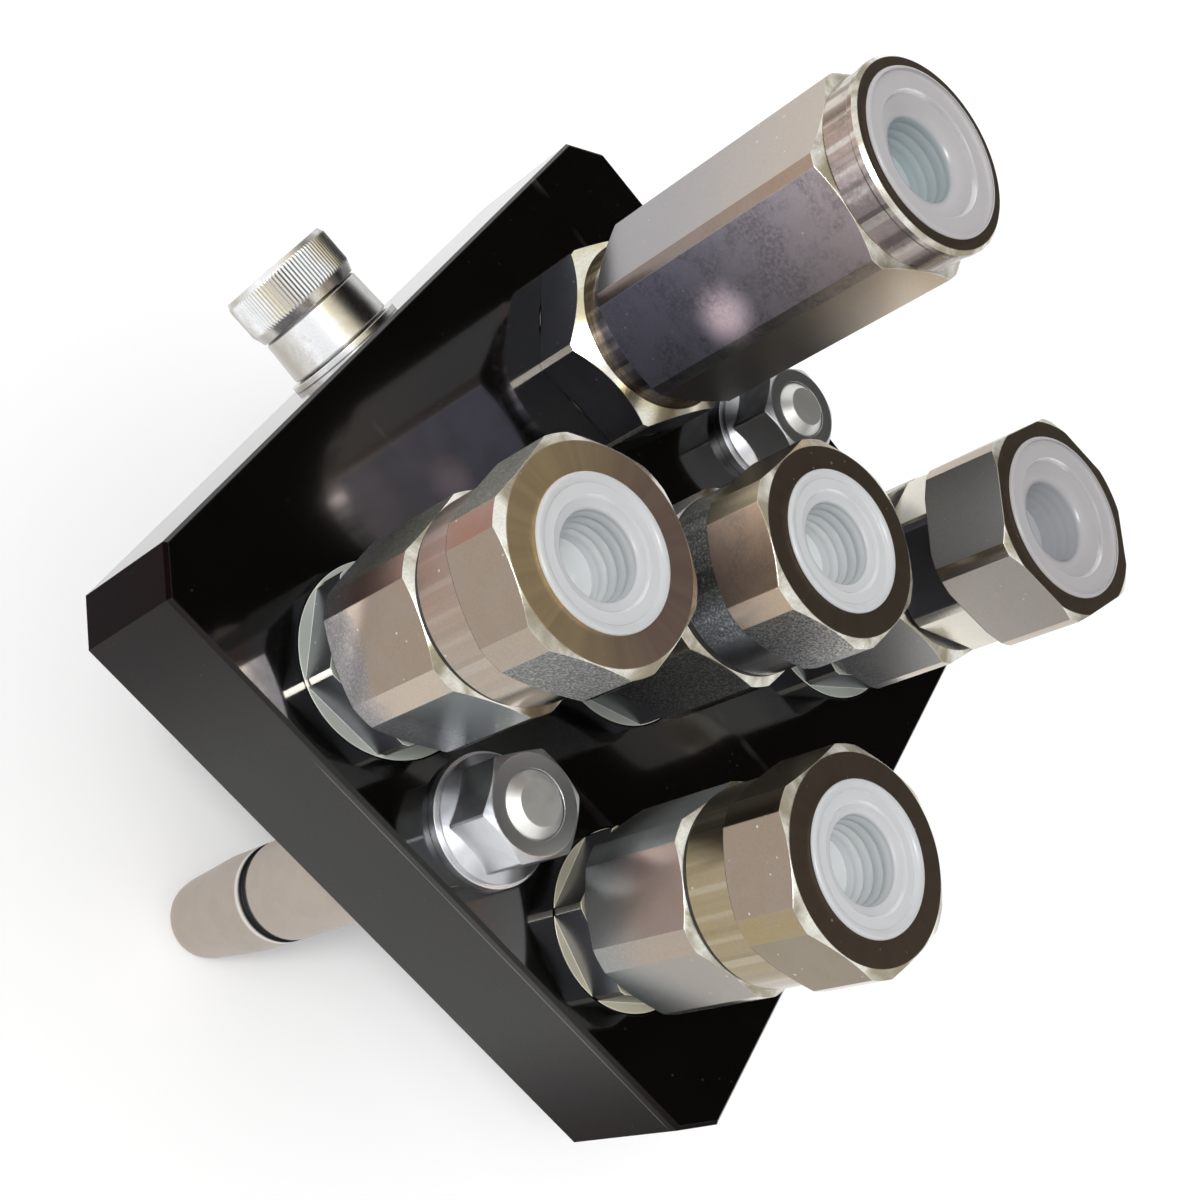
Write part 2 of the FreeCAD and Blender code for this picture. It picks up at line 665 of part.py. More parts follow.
def retaining_ring(line):
    """Open ring in the groove of the shank, with two eyes at its mouth."""
    size = line.size
    inner = size.shank - CLIP_GROOVE_DEPTH + SEAT_CLEARANCE
    outer = inner + CLIP_WIDTH
    top = RING_POCKET_DEPTH
    bottom = top - CLIP_THICKNESS
    ring = disc(outer, bottom, top).cut(disc(inner, bottom, top))
    half = math.radians(CLIP_MOUTH_DEGREES / 2.0)
    reach = 2.0 * outer
    mouth = Part.Face(Part.makePolygon([
        V(0, 0, bottom), V(reach, -reach * math.tan(half), bottom),
        V(reach, reach * math.tan(half), bottom), V(0, 0, bottom)])).extrude(V(0, 0, CLIP_THICKNESS))
    ring = ring.cut(mouth)
    eyes = []
    for side in (-1.0, 1.0):
        angle = side * (half + math.radians(CLIP_EYE_DEGREES))
        middle = (inner + outer) / 2.0
        eyes.append(disc(CLIP_EYE_R, bottom, top, middle * math.cos(angle), middle * math.sin(angle)))
    return ring.cut(Part.makeCompound(eyes))


def pin_places():
    """Places of the two guide pins."""
    return [(PIN_1_FROM_LEFT - RIGHT, PIN_1_Y), (RIGHT - PIN_2_FROM_RIGHT, PIN_2_Y)]


def guide_pin():
    """Pin with a rounded tip, a groove and a seated flange, its spigot in the plate and its stud above."""
    groove_low = -PIN_GROOVE_PLACE - PIN_GROOVE_WIDTH / 2.0
    groove_high = -PIN_GROOVE_PLACE + PIN_GROOVE_WIDTH / 2.0
    groove_r = PIN_R - PIN_GROOVE_DEPTH
    seat = PLATE_Z - PIN_SPIGOT_SHORT
    taper_r = PIN_R - PIN_TAPER_IN
    stud_top = PLATE_Z + STUD_HEIGHT
    tip = [(0.0, -PIN_LENGTH)]
    for k in range(PIN_TIP_RUNS + 1):
        angle = math.pi / 2.0 * k / PIN_TIP_RUNS
        tip.append((taper_r - PIN_TIP_ROUND + PIN_TIP_ROUND * math.sin(angle),
                    -PIN_LENGTH + PIN_TIP_ROUND - PIN_TIP_ROUND * math.cos(angle)))
    return turned(tip + [
        (PIN_R, -PIN_LENGTH + PIN_TIP_ROUND + PIN_TAPER_LENGTH),
        (PIN_R, groove_low),
        (groove_r, groove_low),
        (groove_r, groove_high),
        (PIN_R, groove_high),
        (PIN_R, -PIN_RELIEF_LENGTH),
        (PIN_RELIEF_R, -PIN_RELIEF_LENGTH),
        (PIN_RELIEF_R, 0.0),
        (PIN_FLANGE_R, 0.0),
        (PIN_FLANGE_R, PIN_SEAT_DEPTH),
        (PIN_SPIGOT_R, PIN_SEAT_DEPTH),
        (PIN_SPIGOT_R, seat),
        (STUD_R, seat),
        (STUD_R, stud_top - STUD_CHAMFER),
        (STUD_R - STUD_CHAMFER, stud_top),
        (0.0, stud_top),
    ])


def pin_washer():
    """Flat washer between the plate and the nut."""
    top = PLATE_Z + WASHER_THICKNESS
    return disc(WASHER_R, PLATE_Z, top).cut(disc(STUD_R + HOLE_CLEARANCE, PLATE_Z, top))


def flange_nut():
    """Hexagonal nut on a coned flange."""
    seat = PLATE_Z + WASHER_THICKNESS
    rim = seat + NUT_RIM
    cone = rim + NUT_CONE
    top = seat + NUT_HEIGHT
    hex_r = NUT_HEX / 2.0
    flange = turned([(0.0, seat), (NUT_FLANGE_R, seat), (NUT_FLANGE_R, rim), (hex_r, cone), (0.0, cone)])
    head = chamfered_hexagon(NUT_HEX, rim, top, NUT_TURN, NUT_STRIP, hex_r - NUT_CHAMFER_IN, False, True)
    return joined(flange, head).cut(disc(STUD_R + SEAT_CLEARANCE, seat, top))


def cam_frame(solid, side):
    """A solid built along +Z from the side face, laid along +Y or -Y at the cam's place."""
    placed = solid.copy()
    placed.rotate(V(0, 0, 0), V(1, 0, 0), -90.0 * side)
    placed.translate(V(CAM_X, side * PLATE_Y / 2.0, CAM_Z))
    return placed


def shoulder_length():
    """Length of the shoulder: washer, roller and its side play."""
    return CAM_WASHER + ROLLER_WIDTH + 2.0 * ROLLER_SIDE_PLAY


def cam_screw():
    """Shoulder screw with a straight-knurled head and a hexagon socket."""
    under = shoulder_length()
    top = under + CAM_HEAD_HEIGHT
    root = CAM_HEAD_R - KNURL_DEPTH
    points = []
    for k in range(2 * KNURL_RIDGES):
        angle = math.pi * k / KNURL_RIDGES
        radius = CAM_HEAD_R if k % 2 == 0 else root
        points.append(V(radius * math.cos(angle), radius * math.sin(angle), under))
    knurl = Part.Face(Part.makePolygon(points + [points[0]])).extrude(V(0, 0, top - under))
    blank = turned([(0.0, under), (CAM_HEAD_FOOT_R, under), (CAM_HEAD_R, under + CAM_HEAD_FOOT_LENGTH),
                    (CAM_HEAD_R, top - CAM_HEAD_CHAMFER_LENGTH), (CAM_HEAD_R - CAM_HEAD_CHAMFER, top),
                    (0.0, top)])
    head = knurl.common(blank)
    stem = turned([(0.0, -CAM_THREAD_LENGTH), (CAM_THREAD_R, -CAM_THREAD_LENGTH), (CAM_THREAD_R, 0.0),
                   (SHOULDER_R, 0.0), (SHOULDER_R, under), (0.0, under)])
    return joined(stem, head).cut(hexagon(CAM_SOCKET, top - CAM_SOCKET_DEPTH, top))


def cam_washer():
    """Thrust washer on the shoulder, against the side of the plate."""
    return disc(CAM_WASHER_R, 0.0, CAM_WASHER).cut(disc(SHOULDER_R + SEAT_CLEARANCE, 0.0, CAM_WASHER))


def cam_roller():
    """Roller that runs on the shoulder, a little wider at the plate."""
    low = CAM_WASHER + ROLLER_SIDE_PLAY
    high = low + ROLLER_WIDTH
    bore = SHOULDER_R + RUNNING_CLEARANCE
    return turned([(bore, low), (ROLLER_FOOT_R - SMALL_EDGE, low), (ROLLER_FOOT_R, low + SMALL_EDGE),
                   (ROLLER_R, high - SMALL_EDGE), (ROLLER_R - SMALL_EDGE, high), (bore, high)])


def save(name, shape):
    """Write one node, after making sure that each of its solids is whole."""
    for solid in shape.Solids:
        if not solid.isValid() or solid.Volume <= 0.0:
            raise ValueError(name + " is not a valid solid")
    shape.exportStep(os.path.join("parts", name + ".step"))
    print(name, len(shape.Solids), round(shape.Volume, 1))


def at(line, shape):
    """A piece of a line moved from the axis Z to the line's place."""
    moved = shape.copy()
    moved.translate(V(line.x, line.y, 0))
    return moved


def main():
    os.makedirs("parts", exist_ok=True)
    save("plate", plate())
    for line in LINES:
        number = str(line.number)
        save("coupling_body_" + number, at(line, coupling_body(line)))
        save("retaining_ring_" + number, at(line, retaining_ring(line)))
        save("valve_" + number, at(line, valve(line)))
        save("valve_seal_" + number, at(line, valve_seal(line)))
        save("valve_spring_" + number, at(line, valve_spring(line)))
        save("stem_guide_" + number, at(line, stem_guide(line)))
        save("port_cap_" + number, at(line, port_cap(line)))
        if line.number == 1:
            save("port_piece_" + number, at(line, long_port_piece(line)))
        else:
            save("hex_sleeve_" + number, at(line, sleeve(line)))
            save("joint_seal_" + number, at(line, joint_seal(line)))
            save("port_piece_" + number, at(line, port_piece(line)))
    washers = []
    nuts = []
    for index, (x, y) in enumerate(pin_places()):
        place = V(x, y, 0)
        pin = guide_pin()
        pin.translate(place)
        save("guide_pin_" + str(index + 1), pin)
        washer = pin_washer()
        washer.translate(place)
        washers.append(washer)
        nut = flange_nut()
        nut.translate(place)
        nuts.append(nut)
    save("pin_washers", Part.makeCompound(washers))
    save("pin_nuts", Part.makeCompound(nuts))
    sides = (1.0, -1.0)
    save("cam_screws", Part.makeCompound([cam_frame(cam_screw(), side) for side in sides]))
    save("cam_washers", Part.makeCompound([cam_frame(cam_washer(), side) for side in sides]))
    for index, side in enumerate(sides):
        save("cam_roller_" + str(index + 1), cam_frame(cam_roller(), side))


main()
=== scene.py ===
"""Looks of the hose-side half of a hydraulic multi-coupling.

Metres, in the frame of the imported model: the origin is the centre of the mating face of the plate
and +Z points to the hoses.
"""
from __future__ import annotations

import logging
import math
from dataclasses import dataclass, replace
from enum import Enum
from functools import cached_property, reduce

import bmesh
import bpy
from mathutils import Matrix, Vector

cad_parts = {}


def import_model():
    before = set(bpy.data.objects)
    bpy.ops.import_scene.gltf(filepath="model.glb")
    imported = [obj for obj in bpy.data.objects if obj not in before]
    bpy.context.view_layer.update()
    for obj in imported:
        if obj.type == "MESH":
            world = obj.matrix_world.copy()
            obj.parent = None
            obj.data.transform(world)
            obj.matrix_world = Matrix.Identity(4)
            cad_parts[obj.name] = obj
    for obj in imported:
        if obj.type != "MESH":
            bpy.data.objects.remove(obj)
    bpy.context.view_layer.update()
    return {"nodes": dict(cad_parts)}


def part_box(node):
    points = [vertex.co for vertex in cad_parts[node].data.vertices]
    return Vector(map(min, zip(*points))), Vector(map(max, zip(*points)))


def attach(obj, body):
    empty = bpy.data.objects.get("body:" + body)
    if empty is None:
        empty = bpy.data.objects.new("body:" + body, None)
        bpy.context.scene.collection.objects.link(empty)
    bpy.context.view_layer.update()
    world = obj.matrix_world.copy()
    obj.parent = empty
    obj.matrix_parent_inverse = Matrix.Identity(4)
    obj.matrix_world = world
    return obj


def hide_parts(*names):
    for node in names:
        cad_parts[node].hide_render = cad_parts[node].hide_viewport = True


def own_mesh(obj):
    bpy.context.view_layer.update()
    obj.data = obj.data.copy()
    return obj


LOG = logging.getLogger("coupling_plate")
MM = 0.001
BLOCK = "coupling_block"
MERGE = 1e-7  # metres, below which two points are one
THREAD_PITCH = 1.814  # mm, for both port sizes
THREAD_TURNS = 7.0
THREAD_RIDGE = 0.42  # mm
THREAD_BELOW_FACE = 1.6  # mm

Socket = bpy.types.NodeSocket
Sockets = bpy.types.bpy_prop_collection
Material = bpy.types.Material
Triple = tuple[float, float, float]
BARE: Triple = (0.9, 0.9, 0.88)  # metal rubbed bright at its edges
AS_IT_IS: Triple = (1.0, 1.0, 1.0)
TO_NUMBER = ("DOT_PRODUCT", "LENGTH", "DISTANCE")  # vector operations that give a number
HALF_STEP = 15.0  # degrees, half of the turn that a flat or a land takes up


@dataclass(frozen=True)
class PortSizes:
    """Sizes of a port and its dust cap in mm, and how clearly the thread shows in the cap."""

    port_r: float
    flange_r: float
    cup_r: float
    mouth: float
    dish_in: float
    rim: float
    thread_shows: float


class Size(Enum):
    """The two port sizes: half an inch and three quarters."""

    SMALL = PortSizes(9.4, 12.5, 7.2, -1.1, 1.75, 0.30, 1.0)
    LARGE = PortSizes(12.1, 15.8, 7.75, -2.7, 0.9, 0.10, 0.6)


class Tint(Enum):
    """Linear colours, each with its roughness, painted on the bright plating from place to place:
    mostly painted reflections and highlights that stand in for what each face mirrors.
    """

    WHITE = (0.88, 0.86, 0.78, 0.16)
    PALE = (0.62, 0.58, 0.5, 0.2)
    BEIGE = (0.52, 0.44, 0.36, 0.17)
    SAND = (0.4, 0.335, 0.27, 0.18)
    ASH = (0.33, 0.3, 0.265, 0.2)
    SILVER = (0.43, 0.4, 0.355, 0.17)
    WARM = (0.31, 0.245, 0.19, 0.17)
    MAUVE = (0.28, 0.205, 0.175, 0.22)
    CLAY = (0.64, 0.49, 0.39, 0.38)
    ROSE = (0.31, 0.19, 0.15, 0.26)
    SALMON = (0.3, 0.16, 0.115, 0.22)
    LAVENDER = (0.33, 0.322, 0.345, 0.41)
    SLATE = (0.48, 0.46, 0.52, 0.38)
    TEAL = (0.29, 0.315, 0.315, 0.27)
    NAVY = (0.16, 0.165, 0.19, 0.34)
    DUSK = (0.74, 0.79, 0.79, 0.38)
    STEEL = (0.35, 0.352, 0.345, 0.42)
    GRIT = (0.56, 0.56, 0.56, 0.42)
    STRAW = (0.62, 0.545, 0.42, 0.28)
    BRASS = (0.34, 0.27, 0.155, 0.22)
    KHAKI = (0.245, 0.2, 0.135, 0.24)
    SMOKE = (0.4, 0.395, 0.38, 0.36)
    OLIVE = (0.3, 0.25, 0.165, 0.22)
    MOSS = (0.16, 0.155, 0.115, 0.42)
    BROWN = (0.43, 0.31, 0.25, 0.44)
    HONEY = (0.74, 0.57, 0.33, 0.44)
    UMBER = (0.18, 0.138, 0.098, 0.42)
    GREEN_GREY = (0.76, 0.8, 0.72, 0.54)
    CREAM = (0.86, 0.82, 0.64, 0.54)

    @property
    def colour(self) -> Triple:
        """The colour without the roughness."""
        return self.value[:3]

    @property
    def roughness(self) -> float:
        """The roughness alone."""
        return self.value[3]


T = Tint


def six(*tints: Tint) -> tuple[Tint, ...]:
    """Tints for the six sides of a hexagon, those not named in beige."""
    return tints + (T.BEIGE,) * (6 - len(tints))


class Wiring:
    """Fills in one node tree."""

    prefix = "ShaderNode"

    def __init__(self, tree: bpy.types.NodeTree) -> None:
        """Takes the tree of a material, a world or a group, to fill in."""
        self.tree = tree

    def add(self, kind: str, feeds: dict | None = None, **settings: object) -> bpy.types.Node:
        """Adds a node.

        Args:
            kind: the node's type, whole or without the tree's usual prefix.
            feeds: a value or a socket for each named or numbered input.
            settings: the node's own properties.

        Returns:
            The new node.
        """
        node = self.tree.nodes.new(kind if "Node" in kind else self.prefix + kind)
        for name, value in settings.items():
            setattr(node, name, value)
        for key, value in (feeds or {}).items():
            self.feed(node.inputs[key], value)
        return node

    def feed(self, socket: Socket, value: object) -> None:
        """Links a socket to an input, or sets the input's value.

        Args:
            socket: the input.
            value: another node's output, a number, or the numbers of a vector or colour.
        """
        if isinstance(value, Socket):
            self.tree.links.new(value, socket)
            return
        if socket.type == "RGBA" and len(value) == 3:
            value = (*value, 1.0)
        socket.default_value = value

    def maths(self, operation: str, first: object, second: object = 0.0,
              clamp: bool = False) -> Socket:
        """Works out a number from one or two others, kept from 0 to 1 where it is clamped."""
        node = self.add("ShaderNodeMath", {0: first, 1: second}, operation=operation,
                        use_clamp=clamp)
        return node.outputs[0]

    def times(self, *values: object) -> Socket:
        """The product of numbers or sockets."""
        return reduce(lambda first, second: self.maths("MULTIPLY", first, second), values)

    def most(self, *values: object) -> Socket:
        """The largest of numbers or sockets."""
        return reduce(lambda first, second: self.maths("MAXIMUM", first, second), values)

    def plus(self, first: object, second: object) -> Socket:
        """The sum of two numbers or sockets."""
        return self.maths("ADD", first, second)

    def less(self, first: object, second: object) -> Socket:
        """The first number or socket less the second."""
        return self.maths("SUBTRACT", first, second)

    def away(self, value: object, place: float) -> Socket:
        """How far a number is from a place, on either side."""
        return self.maths("ABSOLUTE", self.less(value, place))

    def band(self, value: object, low: float, high: float, to_low: float = 0.0,
             to_high: float = 1.0) -> Socket:
        """Brings a number from one range to another, smoothly and within its ends."""
        node = self.add("MapRange", {"Value": value, "From Min": low, "From Max": high,
                                     "To Min": to_low, "To Max": to_high},
                        interpolation_type="SMOOTHSTEP")
        return node.outputs["Result"]

    def blend(self, share: object, first: object, second: object, mode: str = "MIX") -> Socket:
        """Mixes two colours, with as much of the second as the share says, from 0 to 1."""
        node = self.add("Mix", {0: share, 6: first, 7: second}, data_type="RGBA", blend_type=mode)
        return node.outputs[2]

    def coats(self, tint: object, *layers: tuple[object, object]) -> Socket:
        """Lays colours over a first one.

        Args:
            tint: the first colour or its socket.
            layers: the share and the colour of each layer, from the bottom up.

        Returns:
            The socket of the colour on top.
        """
        for share, colour in layers:
            tint = self.blend(share, tint, colour)
        return tint

    def share(self, part: object, first: object, second: object) -> Socket:
        """Mixes two numbers, with as much of the second as the part says, from 0 to 1."""
        return self.add("Mix", {0: part, 2: first, 3: second}).outputs[0]

    def vector(self, operation: str, *parts: object) -> Socket:
        """Works out a vector, or a number where the operation gives one."""
        node = self.add("VectorMath", dict(enumerate(parts)), operation=operation)
        return node.outputs["Value" if operation in TO_NUMBER else "Vector"]

    def place(self) -> Socket:
        """The place of the shaded point in the frame."""
        return self.add("TexCoord").outputs["Object"]

    def parts(self, vector: Socket) -> Sockets:
        """The X, Y and Z of a vector."""
        return self.add("SeparateXYZ", {0: vector}).outputs

    def noise(self, scale: object, detail: float, **feeds: object) -> Socket:
        """Adds noise: along a line if it is fed only W, and in space and along W if fed both.

        Args:
            scale: how fine it is.
            detail: how many finer layers it has.
            feeds: a value or a socket for each other input.

        Returns:
            The socket of the noise, from 0 to 1.
        """
        size = ("4D" if "W" in feeds else "3D") if "Vector" in feeds else "1D"
        node = self.add("TexNoise", {"Scale": scale, "Detail": detail}, noise_dimensions=size)
        for key, value in feeds.items():
            self.feed(node.inputs[key], value)
        return node.outputs["Fac"]

    def ramp(self, value: object, stops: list[tuple[float, tuple[float, ...]]],
             steps: bool = False) -> tuple[Socket, Socket]:
        """Turns a number into a colour and a fourth number.

        Args:
            value: the socket of the number.
            stops: each place from 0 to 1 with its four numbers, in rising order.
            steps: whether the colour stays the same from stop to stop.

        Returns:
            The sockets of the colour and of the fourth number.
        """
        node = self.add("ValToRGB", {"Fac": value})
        bar = node.color_ramp
        bar.interpolation = "CONSTANT" if steps else "LINEAR"
        while len(bar.elements) < len(stops):
            bar.elements.new(1.0)
        for element, (place, numbers) in zip(bar.elements, stops):
            element.position = place
            element.color = numbers
        return node.outputs["Color"], node.outputs["Alpha"]

    def shared(self, name: str, **feeds: object) -> Sockets:
        """Places a shared group, by the name of its builder, and gives its outputs."""
        return self.add("Group", feeds, node_tree=SharedGroup.named(name)).outputs


class SharedGroup(Wiring):
    """A shader node group that several finishes use, built once."""

    built: dict[str, bpy.types.NodeTree] = {}

    def __init__(self, name: str, **inputs: float | Triple) -> None:
        """Opens a new group with its named inputs.

        Args:
            name: the group's name.
            inputs: the default value of each input, a number or a vector.
        """
        super().__init__(bpy.data.node_groups.new(name, "ShaderNodeTree"))
        for label, value in inputs.items():
            kind = "NodeSocketVector" if isinstance(value, tuple) else "NodeSocketFloat"
            socket = self.tree.interface.new_socket(label, in_out="INPUT", socket_type=kind)
            socket.default_value = value
        self.inside = self.tree.nodes.new("NodeGroupInput").outputs

    def close(self, sockets: dict[str, Socket]) -> bpy.types.NodeTree:
        """Makes the group's outputs.

        Args:
            sockets: what each output gives: a normal if it is called that, and else a number.

        Returns:
            The group's tree.
        """
        for label in sockets:
            kind = "NodeSocketVector" if label == "Normal" else "NodeSocketFloat"
            self.tree.interface.new_socket(label, in_out="OUTPUT", socket_type=kind)
        out = self.tree.nodes.new("NodeGroupOutput").inputs
        for label, socket in sockets.items():
            self.feed(out[label], socket)
        return self.tree

    @classmethod
    def named(cls, name: str) -> bpy.types.NodeTree:
        """The group of that name, built on first use.

        Args:
            name: one of the builders below.

        Returns:
            The group's tree.
        """
        if name not in cls.built:
            cls.built[name] = getattr(cls, name)()
        return cls.built[name]

    @classmethod
    def rounded_edges(cls) -> bpy.types.NodeTree:
        """Normals that turn softly at the edges, and a mask of those edges.

        Returns:
            The group's tree.
        """
        g = cls("rounded_edges", Radius=0.0003, Wear=1.0)
        soft = g.add("Bevel", {"Radius": g.inside["Radius"]}, samples=6).outputs["Normal"]
        true = g.add("NewGeometry").outputs["True Normal"]
        edge = g.band(g.less(1.0, g.vector("DOT_PRODUCT", soft, true)), 0.01, 0.12)
        return g.close({"Normal": soft,
                        "Edge": g.maths("MULTIPLY", edge, g.inside["Wear"], clamp=True)})

    @classmethod
    def plating_grain(cls) -> bpy.types.NodeTree:
        """Fine crystal grain of plating, patchy, with a slow change of tone below it.

        Returns:
            The group's tree.
        """
        g = cls("plating_grain", Grain=0.0004, Patch=0.012, Seed=0.0)
        place = g.place()
        fine = g.noise(g.maths("DIVIDE", 1.0, g.inside["Grain"]), 2.0, Vector=place,
                       W=g.inside["Seed"], Roughness=0.6)
        slow = g.noise(g.maths("DIVIDE", 1.0, g.inside["Patch"]), 3.0, Vector=place,
                       W=g.inside["Seed"], Roughness=0.55, Distortion=0.6)
        patch = g.band(slow, 0.38, 0.62)
        grain = g.band(fine, 0.35, 0.65)
        return g.close({"Grain": grain, "Patch": patch, "Height": g.times(grain, patch)})

    @classmethod
    def turning_marks(cls) -> bpy.types.NodeTree:
        """Rings that a lathe tool leaves round an upright axis, with painted sheen round it: rays,
        and one side lighter than the other.

        Returns:
            The group's tree.
        """
        g = cls("turning_marks", Centre=(0.0, 0.0, 0.0), Pitch=0.0002)
        arm = g.vector("SUBTRACT", g.place(), g.inside["Centre"])
        flat = g.vector("MULTIPLY", arm, (1.0, 1.0, 0.0))
        count = g.maths("DIVIDE", g.vector("LENGTH", flat), g.inside["Pitch"])
        parts = g.parts(flat)
        around = g.maths("ARCTAN2", parts["Y"], parts["X"])
        rays = g.noise(1.0, 2.0, W=g.times(around, 4.0), Roughness=0.6)
        return g.close({"Height": g.noise(1.0, 2.0, W=count, Roughness=0.7),
                        "Sheen": g.band(rays, 0.35, 0.65),
                        "Side": g.maths("COSINE", g.plus(around, 0.96))})

    @classmethod
    def facing(cls) -> bpy.types.NodeTree:
        """Which way a face looks: its turns about Z and about Y from 0 to 1, how much it looks up,
        and whether it lies across Z or across Y, where that turn says nothing.

        Returns:
            The group's tree.
        """
        g = cls("facing")
        parts = g.parts(g.add("TexCoord").outputs["Normal"])
        given = {"Up": parts["Z"]}
        for label, axis in (("Turn", "Y"), ("Roll", "Z")):
            turn = g.maths("DIVIDE", g.maths("ARCTAN2", parts[axis], parts["X"]), 2.0 * math.pi)
            given[label] = g.maths("FRACT", g.plus(turn, 1.0))
            given["Across " + axis] = g.band(g.maths("ABSOLUTE", parts[axis]), 0.95, 0.99)
        return g.close(given)

    @classmethod
    def scratches(cls) -> bpy.types.NodeTree:
        """Thin broken scratches along one direction, and scattered specks.

        Returns:
            The group's tree.
        """
        g = cls("scratches", Along=(1.0, 0.02, 0.02), Share=0.5, Scale=400.0)
        place = g.place()
        drawn = g.vector("MULTIPLY", place, g.inside["Along"])
        lines = g.band(g.noise(g.inside["Scale"], 1.0, Vector=drawn), 0.70, 0.78)
        broken = g.band(g.noise(45.0, 2.0, Vector=place), 0.48, 0.60)
        cells = g.add("TexVoronoi", {"Vector": place, "Scale": 500.0, "Randomness": 1.0})
        few = g.band(g.noise(900.0, 0.0, Vector=place), 0.63, 0.70)
        speck = g.times(g.band(cells.outputs["Distance"], 0.16, 0.08), few)
        return g.close({label: g.maths("MULTIPLY", mask, g.inside["Share"], clamp=True)
                        for label, mask in (("Scratch", g.times(lines, broken)),
                                            ("Speck", speck))})


class MaterialWiring(Wiring):
    """Fills in the tree of a new material."""

    def __init__(self, name: str) -> None:
        """Makes the material with an empty tree.

        Args:
            name: the material's name.
        """
        self.material = bpy.data.materials.new(name)
        self.material.use_nodes = True
        self.material.node_tree.nodes.clear()
        super().__init__(self.material.node_tree)

    def bump(self, height: object, distance: float, strength: float,
             normal: Socket | None = None) -> Socket:
        """Raises the surface.

        Args:
            height: the socket of the height, from 0 to 1.
            distance: how far a height of 1 stands out, in metres.
            strength: how much of it shows.
            normal: the normal that it starts from, if not the face's own.

        Returns:
            The new normal's socket.
        """
        node = self.add("Bump", {"Height": height, "Distance": distance, "Strength": strength})
        if normal is not None:
            self.feed(node.inputs["Normal"], normal)
        return node.outputs["Normal"]

    def worn_relief(self, grain: Sockets, along: Triple, strength: float,
                    normal: Socket) -> Socket:
        """Raises grain and scratches, which are long along an axis with a small number."""
        wear = self.shared("scratches", Along=along)
        return self.bump(self.plus(grain["Height"], wear["Scratch"]), 0.00001, strength, normal)

    def show(self, surface: Socket) -> Material:
        """Puts a shader on the output, and gives the finished material."""
        self.add("OutputMaterial", {"Surface": surface})
        return self.material

    def finish(self, feeds: dict[str, object]) -> Material:
        """Adds the Principled shader with its inputs, and gives the finished material."""
        return self.show(self.add("BsdfPrincipled", feeds).outputs[0])


